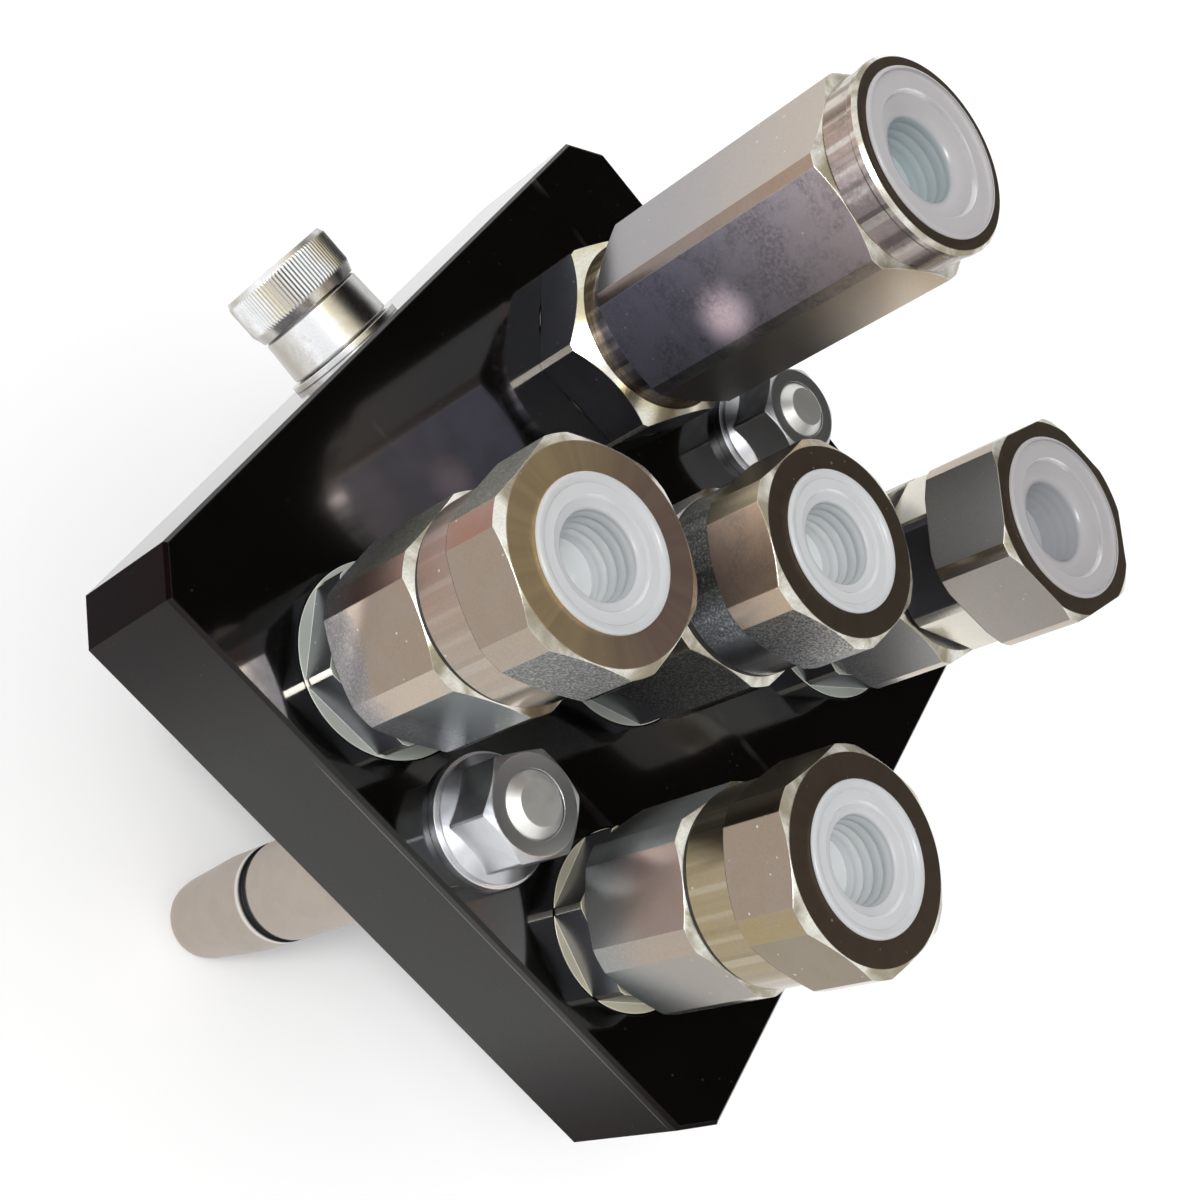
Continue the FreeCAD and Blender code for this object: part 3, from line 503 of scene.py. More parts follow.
@dataclass(frozen=True)
class Plating:
    """Bright plated steel of one turned and milled piece.

    Each flat of its hexagon, and each narrow land between two, has a painted reflection of its own,
    and so has each sixth of its round part: tints that stand in for what each face mirrors.
    """

    turn: float
    flats: tuple[Tint, ...]
    lands: tuple[Tint, ...] = six()
    ring: tuple[Tint, Tint] = (T.UMBER, T.UMBER)
    rounds: tuple[Tint, ...] = six()
    round_below: float = 0.0
    round_above: float = 1.0
    round_steps: bool = False
    foot_tint: Tint = T.LAVENDER
    foot_height: float = 0.011
    lows: Triple = AS_IT_IS
    highs: Triple = AS_IT_IS
    fade: float = 0.055
    streaks: float = 0.0
    mottle: float = 0.0
    slope: Triple = (0.34, 0.3, 0.215)
    rays: float = 0.15
    wear: float = 0.5
    painted_glow: Triple = (0.0, 0.0, 0.0)
    painted_glow_r: float = 0.0001
    painted_glow_tint: Triple = (1.0, 0.8, 0.88)
    pits: Triple = (0.05, 0.052, 0.055)
    frosted: float = 0.385
    name: str = "plating"
    centre: tuple[float, float] = (0.0, 0.0)
    foot: float = 0.0
    seat: float = 1.0
    seed: float = 0.0

    def sides(self, w: Wiring, turn: object, rounded: object, height: object,
              sheen: object) -> tuple[Socket, Socket]:
        """Paints what the hexagon and the round part mirror, as painted reflections that change
        from foot to seat.

        Args:
            w: the wiring of the tree.
            turn: the socket of the face's turn about Z.
            rounded: the mask of the round part.
            height: the socket of the height.
            sheen: the socket of the painted sheen streaks round the axis.

        Returns:
            The sockets of the tint and of the roughness.
        """
        # painted reflections: one tint for each flat and land, and one for each sixth of the round
        # part
        shifted = w.maths("FRACT", w.plus(turn, 1.0 - (self.turn - HALF_STEP) / 360.0 % 1.0))
        facets = [tint for pair in zip(self.lands, self.flats) for tint in pair]
        flat_tint, flat_rough = w.ramp(
            shifted, [(k / 12.0, tint.value) for k, tint in enumerate(facets)], steps=True)
        round_tint, round_rough = w.ramp(
            turn, [(k / 6.0, self.rounds[k % 6].value) for k in range(7)], self.round_steps)
        tint = w.blend(rounded, flat_tint, round_tint)
        # painted reflection: the tint is scaled from lows below to highs at the seat
        rise = w.band(height, self.seat - self.fade, self.seat)
        tint = w.blend(1.0, tint, w.blend(rise, self.lows, self.highs), "MULTIPLY")
        # painted reflection streaks on the round part, white and near black round the axis
        streak = w.times(rounded, self.streaks)
        tint = w.coats(tint, (w.times(streak, w.band(sheen, 0.55, 1.0)), T.WHITE.colour),
                       (w.times(streak, w.band(sheen, 0.35, 0.0)), (0.05, 0.05, 0.045)))
        return tint, w.share(rounded, flat_rough, round_rough)

    def material(self) -> Material:
        """Builds the material.

        Returns:
            The piece's own material.
        """
        w = MaterialWiring(self.name)
        face = w.shared("facing")
        grain = w.shared("plating_grain", Grain=0.0004, Patch=0.009, Seed=self.seed)
        blots = w.shared("plating_grain", Grain=0.0007, Patch=0.007, Seed=self.seed + 3.0)
        marks = w.shared("turning_marks", Centre=(*self.centre, 0.0))
        edges = w.shared("rounded_edges", Radius=0.00025, Wear=self.wear)
        wear = w.shared("scratches", Along=(1.0, 1.0, 0.05))
        height = w.parts(w.place())["Z"]
        soft = 0.05 * MM
        rounded = w.most(w.band(height, self.round_below - soft, self.round_below + soft, 1.0, 0.0),
                         w.band(height, self.round_above - soft, self.round_above + soft))
        tint, rough = self.sides(w, face["Turn"], rounded, height, marks["Sheen"])
        # frosted foot: a band near the foot that is rougher, speckled and tinted; its tint is also
        # a painted reflection there
        drift = w.times(w.less(grain["Patch"], 0.5), 0.0025)
        near_foot = w.band(w.plus(height, drift), self.foot + 0.004, self.foot + self.foot_height,
                           1.0, 0.0)
        tint = w.blend(w.times(near_foot, 0.8), tint, self.foot_tint.colour)
        rough = w.share(w.times(near_foot, 0.7), rough, self.foot_tint.roughness)
        # painted highlight: a pale pink, half-metallic glow round one point, standing in for light
        # reflected there
        clear = w.band(w.vector("DISTANCE", w.place(), self.painted_glow), 0.1 * self.painted_glow_r,
                       self.painted_glow_r)
        tint = w.blend(clear, self.painted_glow_tint, tint)
        # grain: pits and sparkles where it is frosted, blots where it is dull
        foot_frost = 0.45 if self.foot_tint.roughness > self.frosted else 0.1
        frost = w.most(w.band(rough, self.frosted, self.frosted + 0.03),
                       w.times(near_foot, foot_frost))
        speckle = w.times(grain["Grain"], w.plus(0.10, w.times(frost, 0.60)))
        dull = w.times(w.most(rounded, w.band(rough, 0.28, 0.34)), self.mottle)
        sparkle = w.times(w.band(grain["Grain"], 0.20, 0.0), w.times(frost, 0.22))
        tint = w.coats(tint, (speckle, self.pits),
                       (w.times(blots["Height"], dull), (0.06, 0.055, 0.055)),
                       (w.times(blots["Patch"], 0.10), T.LAVENDER.colour),
                       (sparkle, (0.85, 0.86, 0.86)))
        # turned chamfer and end face
        top = w.band(face["Up"], 0.93, 0.97)
        cone = w.times(w.band(face["Up"], 0.30, 0.40), w.less(1.0, top))
        # painted highlights on the chamfer: white in slow patches over its tint
        slope = w.coats(self.slope, (grain["Patch"], T.WHITE.colour),
                        (w.times(grain["Grain"], 0.12), (0.16, 0.14, 0.1)))
        # painted sheen on the end face: its two tints, lighter on one side round the axis, and dark
        # painted sheen rays
        ring = w.blend(w.band(marks["Side"], -0.9, 0.9), *(side.colour for side in self.ring))
        ring = w.blend(w.times(marks["Sheen"], self.rays), ring, (0.08, 0.065, 0.05))
        rough = w.share(cone, rough, 0.20)
        rough = w.share(top, rough, w.plus(self.ring[0].roughness, w.times(marks["Height"], 0.08)))
        tint = w.coats(tint, (cone, slope), (top, ring),
                       (w.times(edges["Edge"], 0.6), T.WHITE.colour),
                       (wear["Speck"], (0.88, 0.88, 0.88)))
        lathe = w.times(marks["Height"], w.most(top, w.times(cone, 0.5)))
        relief = w.plus(w.times(lathe, 0.7), w.times(speckle, 1.2))
        return w.finish({"Base Color": tint, "Metallic": w.share(clear, 0.50, 1.0),
                         "Roughness": rough,
                         "Normal": w.bump(relief, 0.00002, 0.5, edges["Normal"])})


@dataclass(frozen=True)
class Metal:
    """Plain metal with a grain: ground steel and spring steel."""

    name: str
    colour: Triple
    shade: Triple
    roughness: float

    def material(self) -> Material:
        """Builds the material.

        Returns:
            The material.
        """
        w = MaterialWiring(self.name)
        grain = w.shared("plating_grain", Grain=0.0004, Patch=0.006)
        edges = w.shared("rounded_edges", Wear=0.6)
        tint = w.coats(self.colour, (grain["Patch"], self.shade),
                       (w.times(grain["Height"], 0.12), tuple(0.5 * c for c in self.shade)),
                       (w.times(edges["Edge"], 0.7), BARE))
        return w.finish({"Base Color": tint, "Metallic": 1.0,
                         "Roughness": w.plus(self.roughness, w.times(grain["Grain"], 0.06)),
                         "Normal": w.worn_relief(grain, (1.0, 1.0, 0.05), 0.5, edges["Normal"])})


class Axis(Enum):
    """The axis that a turned piece is banded round: the turn about it, and the faces across it."""

    UPRIGHT = ("Turn", "Across Z")
    LEVEL = ("Roll", "Across Y")


@dataclass(frozen=True)
class BandedSteel:
    """Bright plated steel with painted reflections: light and dark bands round its axis, as
    polished metal shows a room.
    """

    name: str
    axis: Axis
    bands: tuple[tuple[float, Triple], ...]
    end: Triple
    roughness: float
    relief: float

    def material(self) -> Material:
        """Builds the material.

        Returns:
            The material.
        """
        w = MaterialWiring(self.name)
        face = w.shared("facing")
        grain = w.shared("plating_grain", Grain=0.0004, Patch=0.005)
        edges = w.shared("rounded_edges", Wear=0.7)
        turn, across = self.axis.value
        # painted reflections: a tone for each turn of the face round the axis
        drift = w.times(w.less(grain["Patch"], 0.5), 0.02)
        tint, _ = w.ramp(w.plus(face[turn], drift), [(at, (*tone, 1.0)) for at, tone in self.bands])
        tint = w.coats(tint, (face[across], self.end),
                       (w.times(grain["Height"], 0.6 * self.relief), (0.15, 0.15, 0.14)),
                       (w.times(edges["Edge"], 0.5), BARE))
        return w.finish({
            "Base Color": tint, "Metallic": 1.0,
            "Roughness": w.plus(self.roughness, w.times(grain["Grain"], 0.06)),
            "Normal": w.worn_relief(grain, (0.05, 1.0, 0.05), self.relief, edges["Normal"])})


# painted reflections and highlights of the rollers, screws and nuts: the tone at each turn round
# the axis
NICKEL = BandedSteel("nickel_steel", Axis.LEVEL, (
    (0.0, (0.3, 0.3, 0.3)), (0.12, (0.12, 0.118, 0.11)), (0.19, (0.56, 0.56, 0.55)),
    (0.25, (0.24, 0.235, 0.22)), (0.31, (0.68, 0.62, 0.47)), (0.37, (0.86, 0.87, 0.88)),
    (0.42, (0.96, 0.97, 0.98)), (0.46, (0.7, 0.69, 0.67)), (0.52, (0.5, 0.47, 0.42)),
    (0.58, (0.56, 0.54, 0.5)), (0.63, (0.08, 0.08, 0.078)), (0.8, (0.3, 0.3, 0.3))),
    end=(0.6, 0.6, 0.59), roughness=0.20, relief=0.2)
ZINC = BandedSteel("zinc_steel", Axis.UPRIGHT, (
    (0.0, (0.6, 0.61, 0.63)), (0.17, (0.3, 0.305, 0.315)), (0.25, (0.62, 0.63, 0.65)),
    (0.32, (0.3, 0.305, 0.32)), (0.38, (0.16, 0.165, 0.18)), (0.44, (0.52, 0.53, 0.56)),
    (0.51, (0.7, 0.71, 0.73)), (0.56, (0.52, 0.525, 0.54)), (0.62, (0.62, 0.63, 0.65)),
    (0.68, (0.36, 0.365, 0.375)), (0.75, (0.6, 0.61, 0.63))),
    end=(0.7, 0.71, 0.72), roughness=0.32, relief=0.04)


@dataclass(frozen=True)
class PinSteel:
    """Ground steel of a guide pin, with painted shade in its groove, a painted highlight beside it,
    and a bright stud above the plate.
    """

    name: str = "pin_steel"
    colour: Triple = (0.45, 0.39, 0.34)
    shade: Triple = (0.425, 0.37, 0.322)
    stud_light: Triple = (0.88, 0.88, 0.85)
    stud_shade: Triple = (0.78, 0.78, 0.75)
    groove: float = -0.0372
    groove_half: float = 0.0017
    stud_from: float = 0.0301

    def material(self) -> Material:
        """Builds the material.

        Returns:
            The material.
        """
        w = MaterialWiring(self.name)
        grain = w.shared("plating_grain", Grain=0.0004, Patch=0.006)
        edges = w.shared("rounded_edges")
        height = w.parts(w.place())["Z"]
        half = self.groove_half
        # painted shade in the groove, black and not metallic, and a painted highlight along its tip
        # side
        dark = w.band(w.away(height, self.groove), half * 0.8, half * 1.1, 1.0, 0.0)
        lip_highlight = w.band(w.away(height, self.groove - 1.5 * half), 0.0, half * 0.6, 0.9, 0.0)
        stud = w.band(height, self.stud_from - 0.0001, self.stud_from)
        tint = w.coats(self.colour, (grain["Patch"], self.shade),
                       (w.times(lip_highlight, 0.8), (0.85, 0.84, 0.82)), (dark, (0.01, 0.01, 0.01)),
                       (stud, w.blend(grain["Patch"], self.stud_light, self.stud_shade)),
                       (w.times(edges["Edge"], stud, 0.8), BARE))
        rough = w.share(stud, w.plus(0.40, w.times(grain["Grain"], 0.06)), 0.50)
        return w.finish({"Base Color": tint, "Metallic": w.share(dark, 1.0, 0.0),
                         "Roughness": rough,
                         "Normal": w.worn_relief(grain, (1.0, 1.0, 0.05), 0.25, edges["Normal"])})


@dataclass(frozen=True)
class Anodised:
    """Black anodised aluminium: a polished hose face, satin sides and dull cut corners."""

    name: str = "black_anodised"
    black: Triple = (0.0013, 0.0013, 0.0011)
    side: Triple = (0.0085, 0.0078, 0.006)
    cut_and_shade_tone: Triple = (0.01, 0.004, 0.005)
    edge_highlight: Triple = (0.3, 0.29, 0.27)
    scratch: Triple = (0.12, 0.11, 0.1)
    edge_highlight_z: float = 0.0277
    edge_highlight_half: float = 0.00022

    def material(self) -> Material:
        """Builds the material.

        Returns:
            The material.
        """
        w = MaterialWiring(self.name)
        face = w.shared("facing")
        edges = w.shared("rounded_edges", Radius=0.0005)
        wear = w.shared("scratches", Along=(0.5, 0.015, 0.5), Scale=500.0)
        grain = w.shared("plating_grain", Grain=0.0006, Patch=0.02)
        place = w.parts(w.place())
        # where each kind of face is
        top = w.band(face["Up"], 0.95, 0.99)
        upright = w.less(1.0, face["Across Z"])
        quarter = w.maths("FRACT", w.times(face["Turn"], 4.0))
        cut = w.band(w.away(quarter, 0.5), 0.38, 0.44, 1.0, 0.0)
        front = w.less(1.0, w.band(w.away(face["Turn"], 0.5), 0.02, 0.04))
        # painted shade: the upright sides turn darker towards both ends, taking the dull cut
        # corners' tone, metal and roughness
        fade = w.most(w.band(place["Y"], -0.030, -0.066, 0.0, 0.75),
                      w.band(place["Y"], 0.030, 0.062, 0.0, 0.45))
        dull = w.times(w.most(cut, fade), upright)
        ground = w.times(upright, w.less(1.0, w.most(front, cut)))
        # painted highlight: a long thin light line under the front's upper edge
        edge_highlight = w.times(w.band(w.away(place["Z"], self.edge_highlight_z), 0.0, self.edge_highlight_half, 0.5, 0.0),
                       front, upright, w.band(place["Y"], 0.030, 0.024),
                       w.band(place["Y"], -0.064, -0.060))
        tint = w.coats(self.side, (dull, self.cut_and_shade_tone), (edge_highlight, self.edge_highlight), (top, self.black),
                       (w.times(grain["Patch"], 0.25), (0.003, 0.003, 0.003)),
                       (w.times(wear["Scratch"], 0.5), self.scratch),
                       (w.times(wear["Speck"], 0.4), self.scratch))
        rough = w.plus(w.band(top, 0.0, 1.0, 0.38, 0.10), w.times(grain["Grain"], 0.05))
        return w.finish({"Base Color": tint, "Roughness": w.share(dull, rough, 0.80), "IOR": 1.36,
                         "Metallic": dull, "Coat Weight": w.most(top, ground),
                         "Coat IOR": 1.58, "Coat Roughness": 0.07,
                         "Normal": w.bump(grain["Grain"], 0.000004, 0.3, edges["Normal"])})


@dataclass(frozen=True)
class Rubber:
    """Matt black rubber."""

    name: str = "black_rubber"
    dark: Triple = (0.012, 0.012, 0.012)
    worn: Triple = (0.03, 0.028, 0.026)

    def material(self) -> Material:
        """Builds the material.

        Returns:
            The material.
        """
        w = MaterialWiring(self.name)
        grain = w.shared("plating_grain", Grain=0.0005, Patch=0.004)
        return w.finish({"Base Color": w.blend(grain["Patch"], self.dark, self.worn),
                         "Roughness": w.plus(0.55, w.times(grain["Grain"], 0.2)),
                         "Normal": w.bump(grain["Grain"], 0.00002, 0.5)})


@dataclass(frozen=True)
class CapPlastic:
    """Milky translucent polyethylene of a dust cap, with painted shade near the cup's mouth and
    painted light deeper in the cup, standing in for light that shines through.
    """

    name: str = "clear_plastic"
    flange: Triple = (0.78, 0.79, 0.8)
    mouth: Triple = (0.66, 0.7, 0.71)
    cup: Triple = (0.93, 0.96, 0.97)
    cloud: Triple = (0.5, 0.53, 0.58)

    def material(self) -> Material:
        """Builds the material.

        Returns:
            The material.
        """
        w = MaterialWiring(self.name)
        grain = w.shared("plating_grain", Grain=0.0008, Patch=0.006)
        cup = w.add("Attribute", attribute_name="cup").outputs["Fac"]
        # painted shade near the cup's mouth, and painted light deeper in the cup
        tint = w.coats(self.flange, (w.times(grain["Patch"], 0.06), self.cloud),
                       (w.band(cup, 0.0, 0.18), self.mouth), (w.band(cup, 0.25, 0.80), self.cup))
        return w.finish({"Base Color": tint,
                         "Roughness": w.share(w.band(cup, 0.0, 0.2), 0.24, 0.12),
                         "IOR": 1.50, "Transmission Weight": 0.38,
                         "Normal": w.bump(grain["Grain"], 0.00001, 0.25)})


def merge(source: bpy.types.Mesh, mesh: bpy.types.Mesh, outwards: bool = False) -> None:
    """Merges a mesh's doubles and shades it smooth.

    Args:
        source: the mesh that is read.
        mesh: the mesh that is filled in, which may be the same one.
        outwards: whether its faces are turned to point outwards.
    """
    work = bmesh.new()
    work.from_mesh(source)
    bmesh.ops.remove_doubles(work, verts=work.verts, dist=MERGE)
    if outwards:
        bmesh.ops.recalc_face_normals(work, faces=work.faces)
    work.to_mesh(mesh)
    work.free()
    mesh.shade_smooth()


def linked(name: str, data: bpy.types.ID) -> bpy.types.Object:
    """Makes an object at the origin.

    Args:
        name: the object's name.
        data: its mesh, light or camera.

    Returns:
        The new object, linked to the scene.
    """
    made = bpy.data.objects.new(name, data)
    bpy.context.scene.collection.objects.link(made)
    return made


def mesh_object(name: str, points: list, faces: list, material: Material,
                smooth: float = 40.0,
                marks: dict[str, list[float]] | None = None) -> bpy.types.Object:
    """Makes an object at the origin from points and faces.

    Args:
        name: the piece's name.
        points: the corners, in metres.
        faces: the corners' numbers of each face.
        material: the finish.
        smooth: the angle in degrees up to which neighbouring faces shade as one.
        marks: named numbers on the points, for the finish to read.

    Returns:
        The new object, linked to the scene.
    """
    mesh = bpy.data.meshes.new(name)
    mesh.from_pydata(points, [], faces)
    for label, numbers in (marks or {}).items():
        mesh.attributes.new(label, "FLOAT", "POINT").data.foreach_set("value", numbers)
    merge(mesh, mesh, outwards=True)
    mesh.set_sharp_from_angle(angle=math.radians(smooth))
    mesh.materials.append(material)
    return linked(name, mesh)


def dress(node: bpy.types.Object, material: Material) -> None:
    """Gives a CAD node its finish.

    Args:
        node: the CAD node's object.
        material: the finish.
    """
    if not node.material_slots:
        node.data.materials.append(material)
    for slot in node.material_slots:
        slot.material = material
    LOG.info("dressed %s with %s", node.name, material.name)


@dataclass
class DustCap:
    """Press-in dust cap: rimmed flange, dished mouth, and a cup pressed into the port's thread."""

    number: int
    size: Size
    centre: tuple[float, float]
    seat: float
    relief: float
    depth: float = 11.9
    taper: float = 1.3
    wall: float = 0.75
    cup_from: float = -1.0
    cup_depth: float = 9.0
    cup_widest: float = 8.0
    thread_middle: float = 0.4
    columns: int = 96
    steps: int = 44
    bell: tuple[tuple[float, float], ...] = ((0.04, 0.80), (0.12, 0.62), (0.25, 0.43),
                                             (0.40, 0.29), (0.58, 0.17), (0.78, 0.08))

    def profile(self) -> list[Triple]:
        """The outline from the middle of the cup's floor over the rim to the outside of the floor.

        Returns:
            The radius and height in mm, and how deep the thread shows there from 0 to 1.
        """
        sizes = self.size.value
        flange, cup, mouth, rim = sizes.flange_r, sizes.cup_r, sizes.mouth, sizes.rim
        floor = -self.depth
        dish = flange - sizes.dish_in
        skirt = sizes.port_r - self.wall
        out = [(0.0, floor + 1.2, 0.0), (cup - 2.6, floor + 1.3, 0.0),
               (cup - 1.4, floor + 1.9, 0.0)]
        low = floor + 2.6
        for k in range(self.steps + 1):
            share = k / self.steps
            window = min(1.0, share * 6.0, (1.0 - share) * 6.0) * sizes.thread_shows
            out.append((cup - self.taper + self.taper * share, low + (mouth - low) * share, window))
        rest = [(cup + (dish - cup) * share, -0.30 + (mouth + 0.30) * left)
                for share, left in self.bell]
        rest += [(dish, -0.25), (dish + 0.10, -0.20 + rim), (dish + 0.25, rim),
                 (dish + 0.45, 0.62), (flange - 0.70, 0.72), (flange - 0.45, 0.70),
                 (flange - 0.18, 0.56), (flange - 0.03, 0.34), (flange, 0.20),
                 (flange - 0.10, 0.06), (flange - 0.35, 0.02), (skirt + 0.4, 0.02),
                 (skirt, -0.5), (skirt - 0.3, floor + 0.8), (skirt - 0.9, floor + 0.15),
                 (skirt - 1.6, floor), (0.0, floor)]
        return out + [(radius, height, 0.0) for radius, height in rest]

    def build(self, material: Material) -> bpy.types.Object:
        """Builds the cap, marked from 0 to 1 by how deep in the cup each point is.

        Args:
            material: the cap's plastic.

        Returns:
            The cap's object.
        """
        profile = self.profile()
        rows = len(profile)
        points, faces, cup = [], [], []
        for column in range(self.columns):
            angle = 2.0 * math.pi * column / self.columns
            for radius, height, thread in profile:
                wave = (height / THREAD_PITCH + angle / (2.0 * math.pi)) % 1.0
                crest = abs(2.0 * wave - 1.0) ** 2.0
                ridge = thread * self.relief * (crest - self.thread_middle)
                r = max(radius + ridge, 0.0) * MM
                points.append((self.centre[0] + r * math.cos(angle),
                               self.centre[1] + r * math.sin(angle), self.seat + height * MM))
                deep = min(1.0, max(0.0, (self.cup_from - height) / self.cup_depth))
                cup.append(deep if radius < self.cup_widest else 0.0)
            here, there = column * rows, (column + 1) % self.columns * rows
            for row in range(rows - 1):
                faces.append((here + row, there + row, there + row + 1, here + row + 1))
        return mesh_object(f"dust_cap_{self.number}", points, faces, material, 50.0, {"cup": cup})


class ThreadTree(Wiring):
    """Geometry Nodes tree of a thread ridge that stands inwards from a bore."""

    prefix = "GeometryNode"

    def __init__(self) -> None:
        """Builds the tree with named inputs for the thread's sizes."""
        super().__init__(bpy.data.node_groups.new("port_thread", "GeometryNodeTree"))
        sockets = self.tree.interface
        sockets.new_socket("Geometry", in_out="OUTPUT", socket_type="NodeSocketGeometry")
        for label, kind in (("Geometry", "Geometry"), ("Radius", "Float"), ("Depth", "Float"),
                            ("Pitch", "Float"), ("Turns", "Float"), ("Centre", "Vector"),
                            ("Material", "Material")):
            sockets.new_socket(label, in_out="INPUT", socket_type="NodeSocket" + kind)
        inside = self.tree.nodes.new("NodeGroupInput").outputs
        out = self.tree.nodes.new("NodeGroupOutput").inputs
        rise = self.times(inside["Pitch"], inside["Turns"])
        spiral = self.add("CurveSpiral", {"Resolution": 48, "Rotations": inside["Turns"],
                                          "Start Radius": inside["Radius"],
                                          "End Radius": inside["Radius"], "Height": rise})
        ridge = self.add("CurvePrimitiveCircle", {"Resolution": 4, "Radius": inside["Depth"]})
        swept = self.add("CurveToMesh", {0: spiral.outputs[0], 1: ridge.outputs[0],
                                         "Fill Caps": True})
        moved = self.add("Transform", {"Geometry": swept.outputs[0],
                                       "Translation": inside["Centre"]})
        real = self.add("RealizeInstances", {"Geometry": moved.outputs[0]})
        done = self.add("SetMaterial", {"Geometry": real.outputs[0],
                                        "Material": inside["Material"]})
        self.feed(out["Geometry"], done.outputs[0])

    def bake(self, name: str, values: dict[str, object]) -> bpy.types.Object:
        """Makes a plain mesh piece from the tree.

        Args:
            name: the piece's name.
            values: the value of each named input.

        Returns:
            The new piece.
        """
        carrier = linked(name + "_carrier", bpy.data.meshes.new(name + "_carrier"))
        modifier = carrier.modifiers.new("thread", "NODES")
        modifier.node_group = self.tree
        for item in self.tree.interface.items_tree:
            if item.in_out == "INPUT" and item.name in values:
                modifier[item.identifier] = values[item.name]
        shown = carrier.evaluated_get(bpy.context.evaluated_depsgraph_get())
        mesh = bpy.data.meshes.new_from_object(shown)
        bpy.data.objects.remove(carrier)
        return linked(name, mesh)


@dataclass
class Coupling:
    """One line of the plate with its finishes, its thread, its spring and its dust cap."""

    number: int
    size: Size
    body_turn: float
    end: Plating
    sleeve: Plating | None = None
    flange: Tint = T.GREEN_GREY
    slope: Triple = (0.34, 0.3, 0.215)
    cap: str = "cap"
    cap_relief: float = 0.30

    @cached_property
    def centre(self) -> tuple[float, float]:
        """The place of the line's axis."""
        low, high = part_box(f"port_cap_{self.number}")
        return ((low.x + high.x) / 2.0, (low.y + high.y) / 2.0)

    @cached_property
    def seat(self) -> float:
        """The height of the port's face."""
        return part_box(f"port_piece_{self.number}")[1].z

    def build(self, nodes: dict[str, bpy.types.Object], finishes: dict[str, Material],
              thread: ThreadTree) -> None:
        """Dresses the line's nodes and adds its spring, cap and thread.

        Args:
            nodes: the CAD nodes by name.
            finishes: the shared materials by name.
            thread: the thread's node tree.
        """
        n = self.number
        # the body's painted reflections: dark flats, pale lands, and the tints of its flange and
        # chamfer
        body = Plating(self.body_turn, (T.NAVY,) * 6, (T.PALE,) * 6, rays=0.0, wear=0.0,
                       ring=(self.flange, self.flange), slope=self.slope,
                       name=f"plated_body_{n}", centre=self.centre, seed=0.3 * n)
        dress(nodes[f"coupling_body_{n}"], body.material())
        if self.sleeve:
            sleeve = replace(self.sleeve, name=f"plated_sleeve_{n}", centre=self.centre,
                             foot=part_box(f"coupling_body_{n}")[1].z, seed=0.3 * n + 5.0)
            dress(nodes[f"hex_sleeve_{n}"], sleeve.material())
            dress(nodes[f"joint_seal_{n}"], finishes["rubber"])
        end = replace(self.end, name=f"plated_end_{n}", centre=self.centre, seat=self.seat,
                      seed=0.3 * n + 9.0)
        dress(nodes[f"port_piece_{n}"], end.material())
        for name, finish in (("retaining_ring", "spring"), ("valve", "valve"),
                             ("valve_seal", "rubber"), ("stem_guide", "valve")):
            dress(nodes[f"{name}_{n}"], finishes[finish])
        self.add_spring(nodes[f"valve_spring_{n}"], finishes["spring"])
        self.add_cap(finishes[self.cap])
        self.add_thread(finishes["valve"], thread)

    def add_spring(self, node: bpy.types.Object, material: Material) -> None:
        """Copies the valve's spring in place of its CAD node, and attaches it to the coupling
        block.

        Args:
            node: the CAD node of the spring.
            material: the spring's finish.
        """
        mesh = bpy.data.meshes.new(f"coil_spring_{self.number}")
        merge(node.data, mesh)
        mesh.materials.append(material)
        spring = linked(mesh.name, mesh)
        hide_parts(node.name)
        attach(spring, BLOCK)
        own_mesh(spring)
        LOG.info("built %s", spring.name)

    def add_cap(self, material: Material) -> None:
        """Builds the dust cap in place of its plain solid.

        Args:
            material: the cap's plastic.
        """
        cap = DustCap(self.number, self.size, self.centre, self.seat,
                      self.cap_relief).build(material)
        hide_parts(f"port_cap_{self.number}")
        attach(cap, f"dust_cap_{self.number}")
        LOG.info("built %s", cap.name)

    def add_thread(self, material: Material, thread: ThreadTree) -> None:
        """Adds the port's thread.

        Args:
            material: the thread's metal.
            thread: the thread's node tree.
        """
        pitch = THREAD_PITCH * MM
        start = (*self.centre, self.seat - THREAD_BELOW_FACE * MM - pitch * THREAD_TURNS)
        piece = thread.bake(f"port_thread_{self.number}", {
            "Radius": self.size.value.port_r * MM, "Depth": THREAD_RIDGE * MM, "Pitch": pitch,
            "Turns": THREAD_TURNS, "Centre": start, "Material": material})
        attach(piece, BLOCK)
        LOG.info("built %s", piece.name)


@dataclass(frozen=True)
class Lamp:
    """A far lamp: where it shines from, and how wide it looks in degrees."""

    name: str
    strength: float
    way: Triple
    angle: float

    def build(self) -> None:
        """Adds the lamp to the scene."""
        data = bpy.data.lights.new(self.name, "SUN")
        data.energy = self.strength
        data.angle = math.radians(self.angle)
        lamp = linked(self.name, data)
        lamp.rotation_mode = "QUATERNION"
        lamp.rotation_quaternion = Vector(self.way).to_track_quat("Z", "Y")


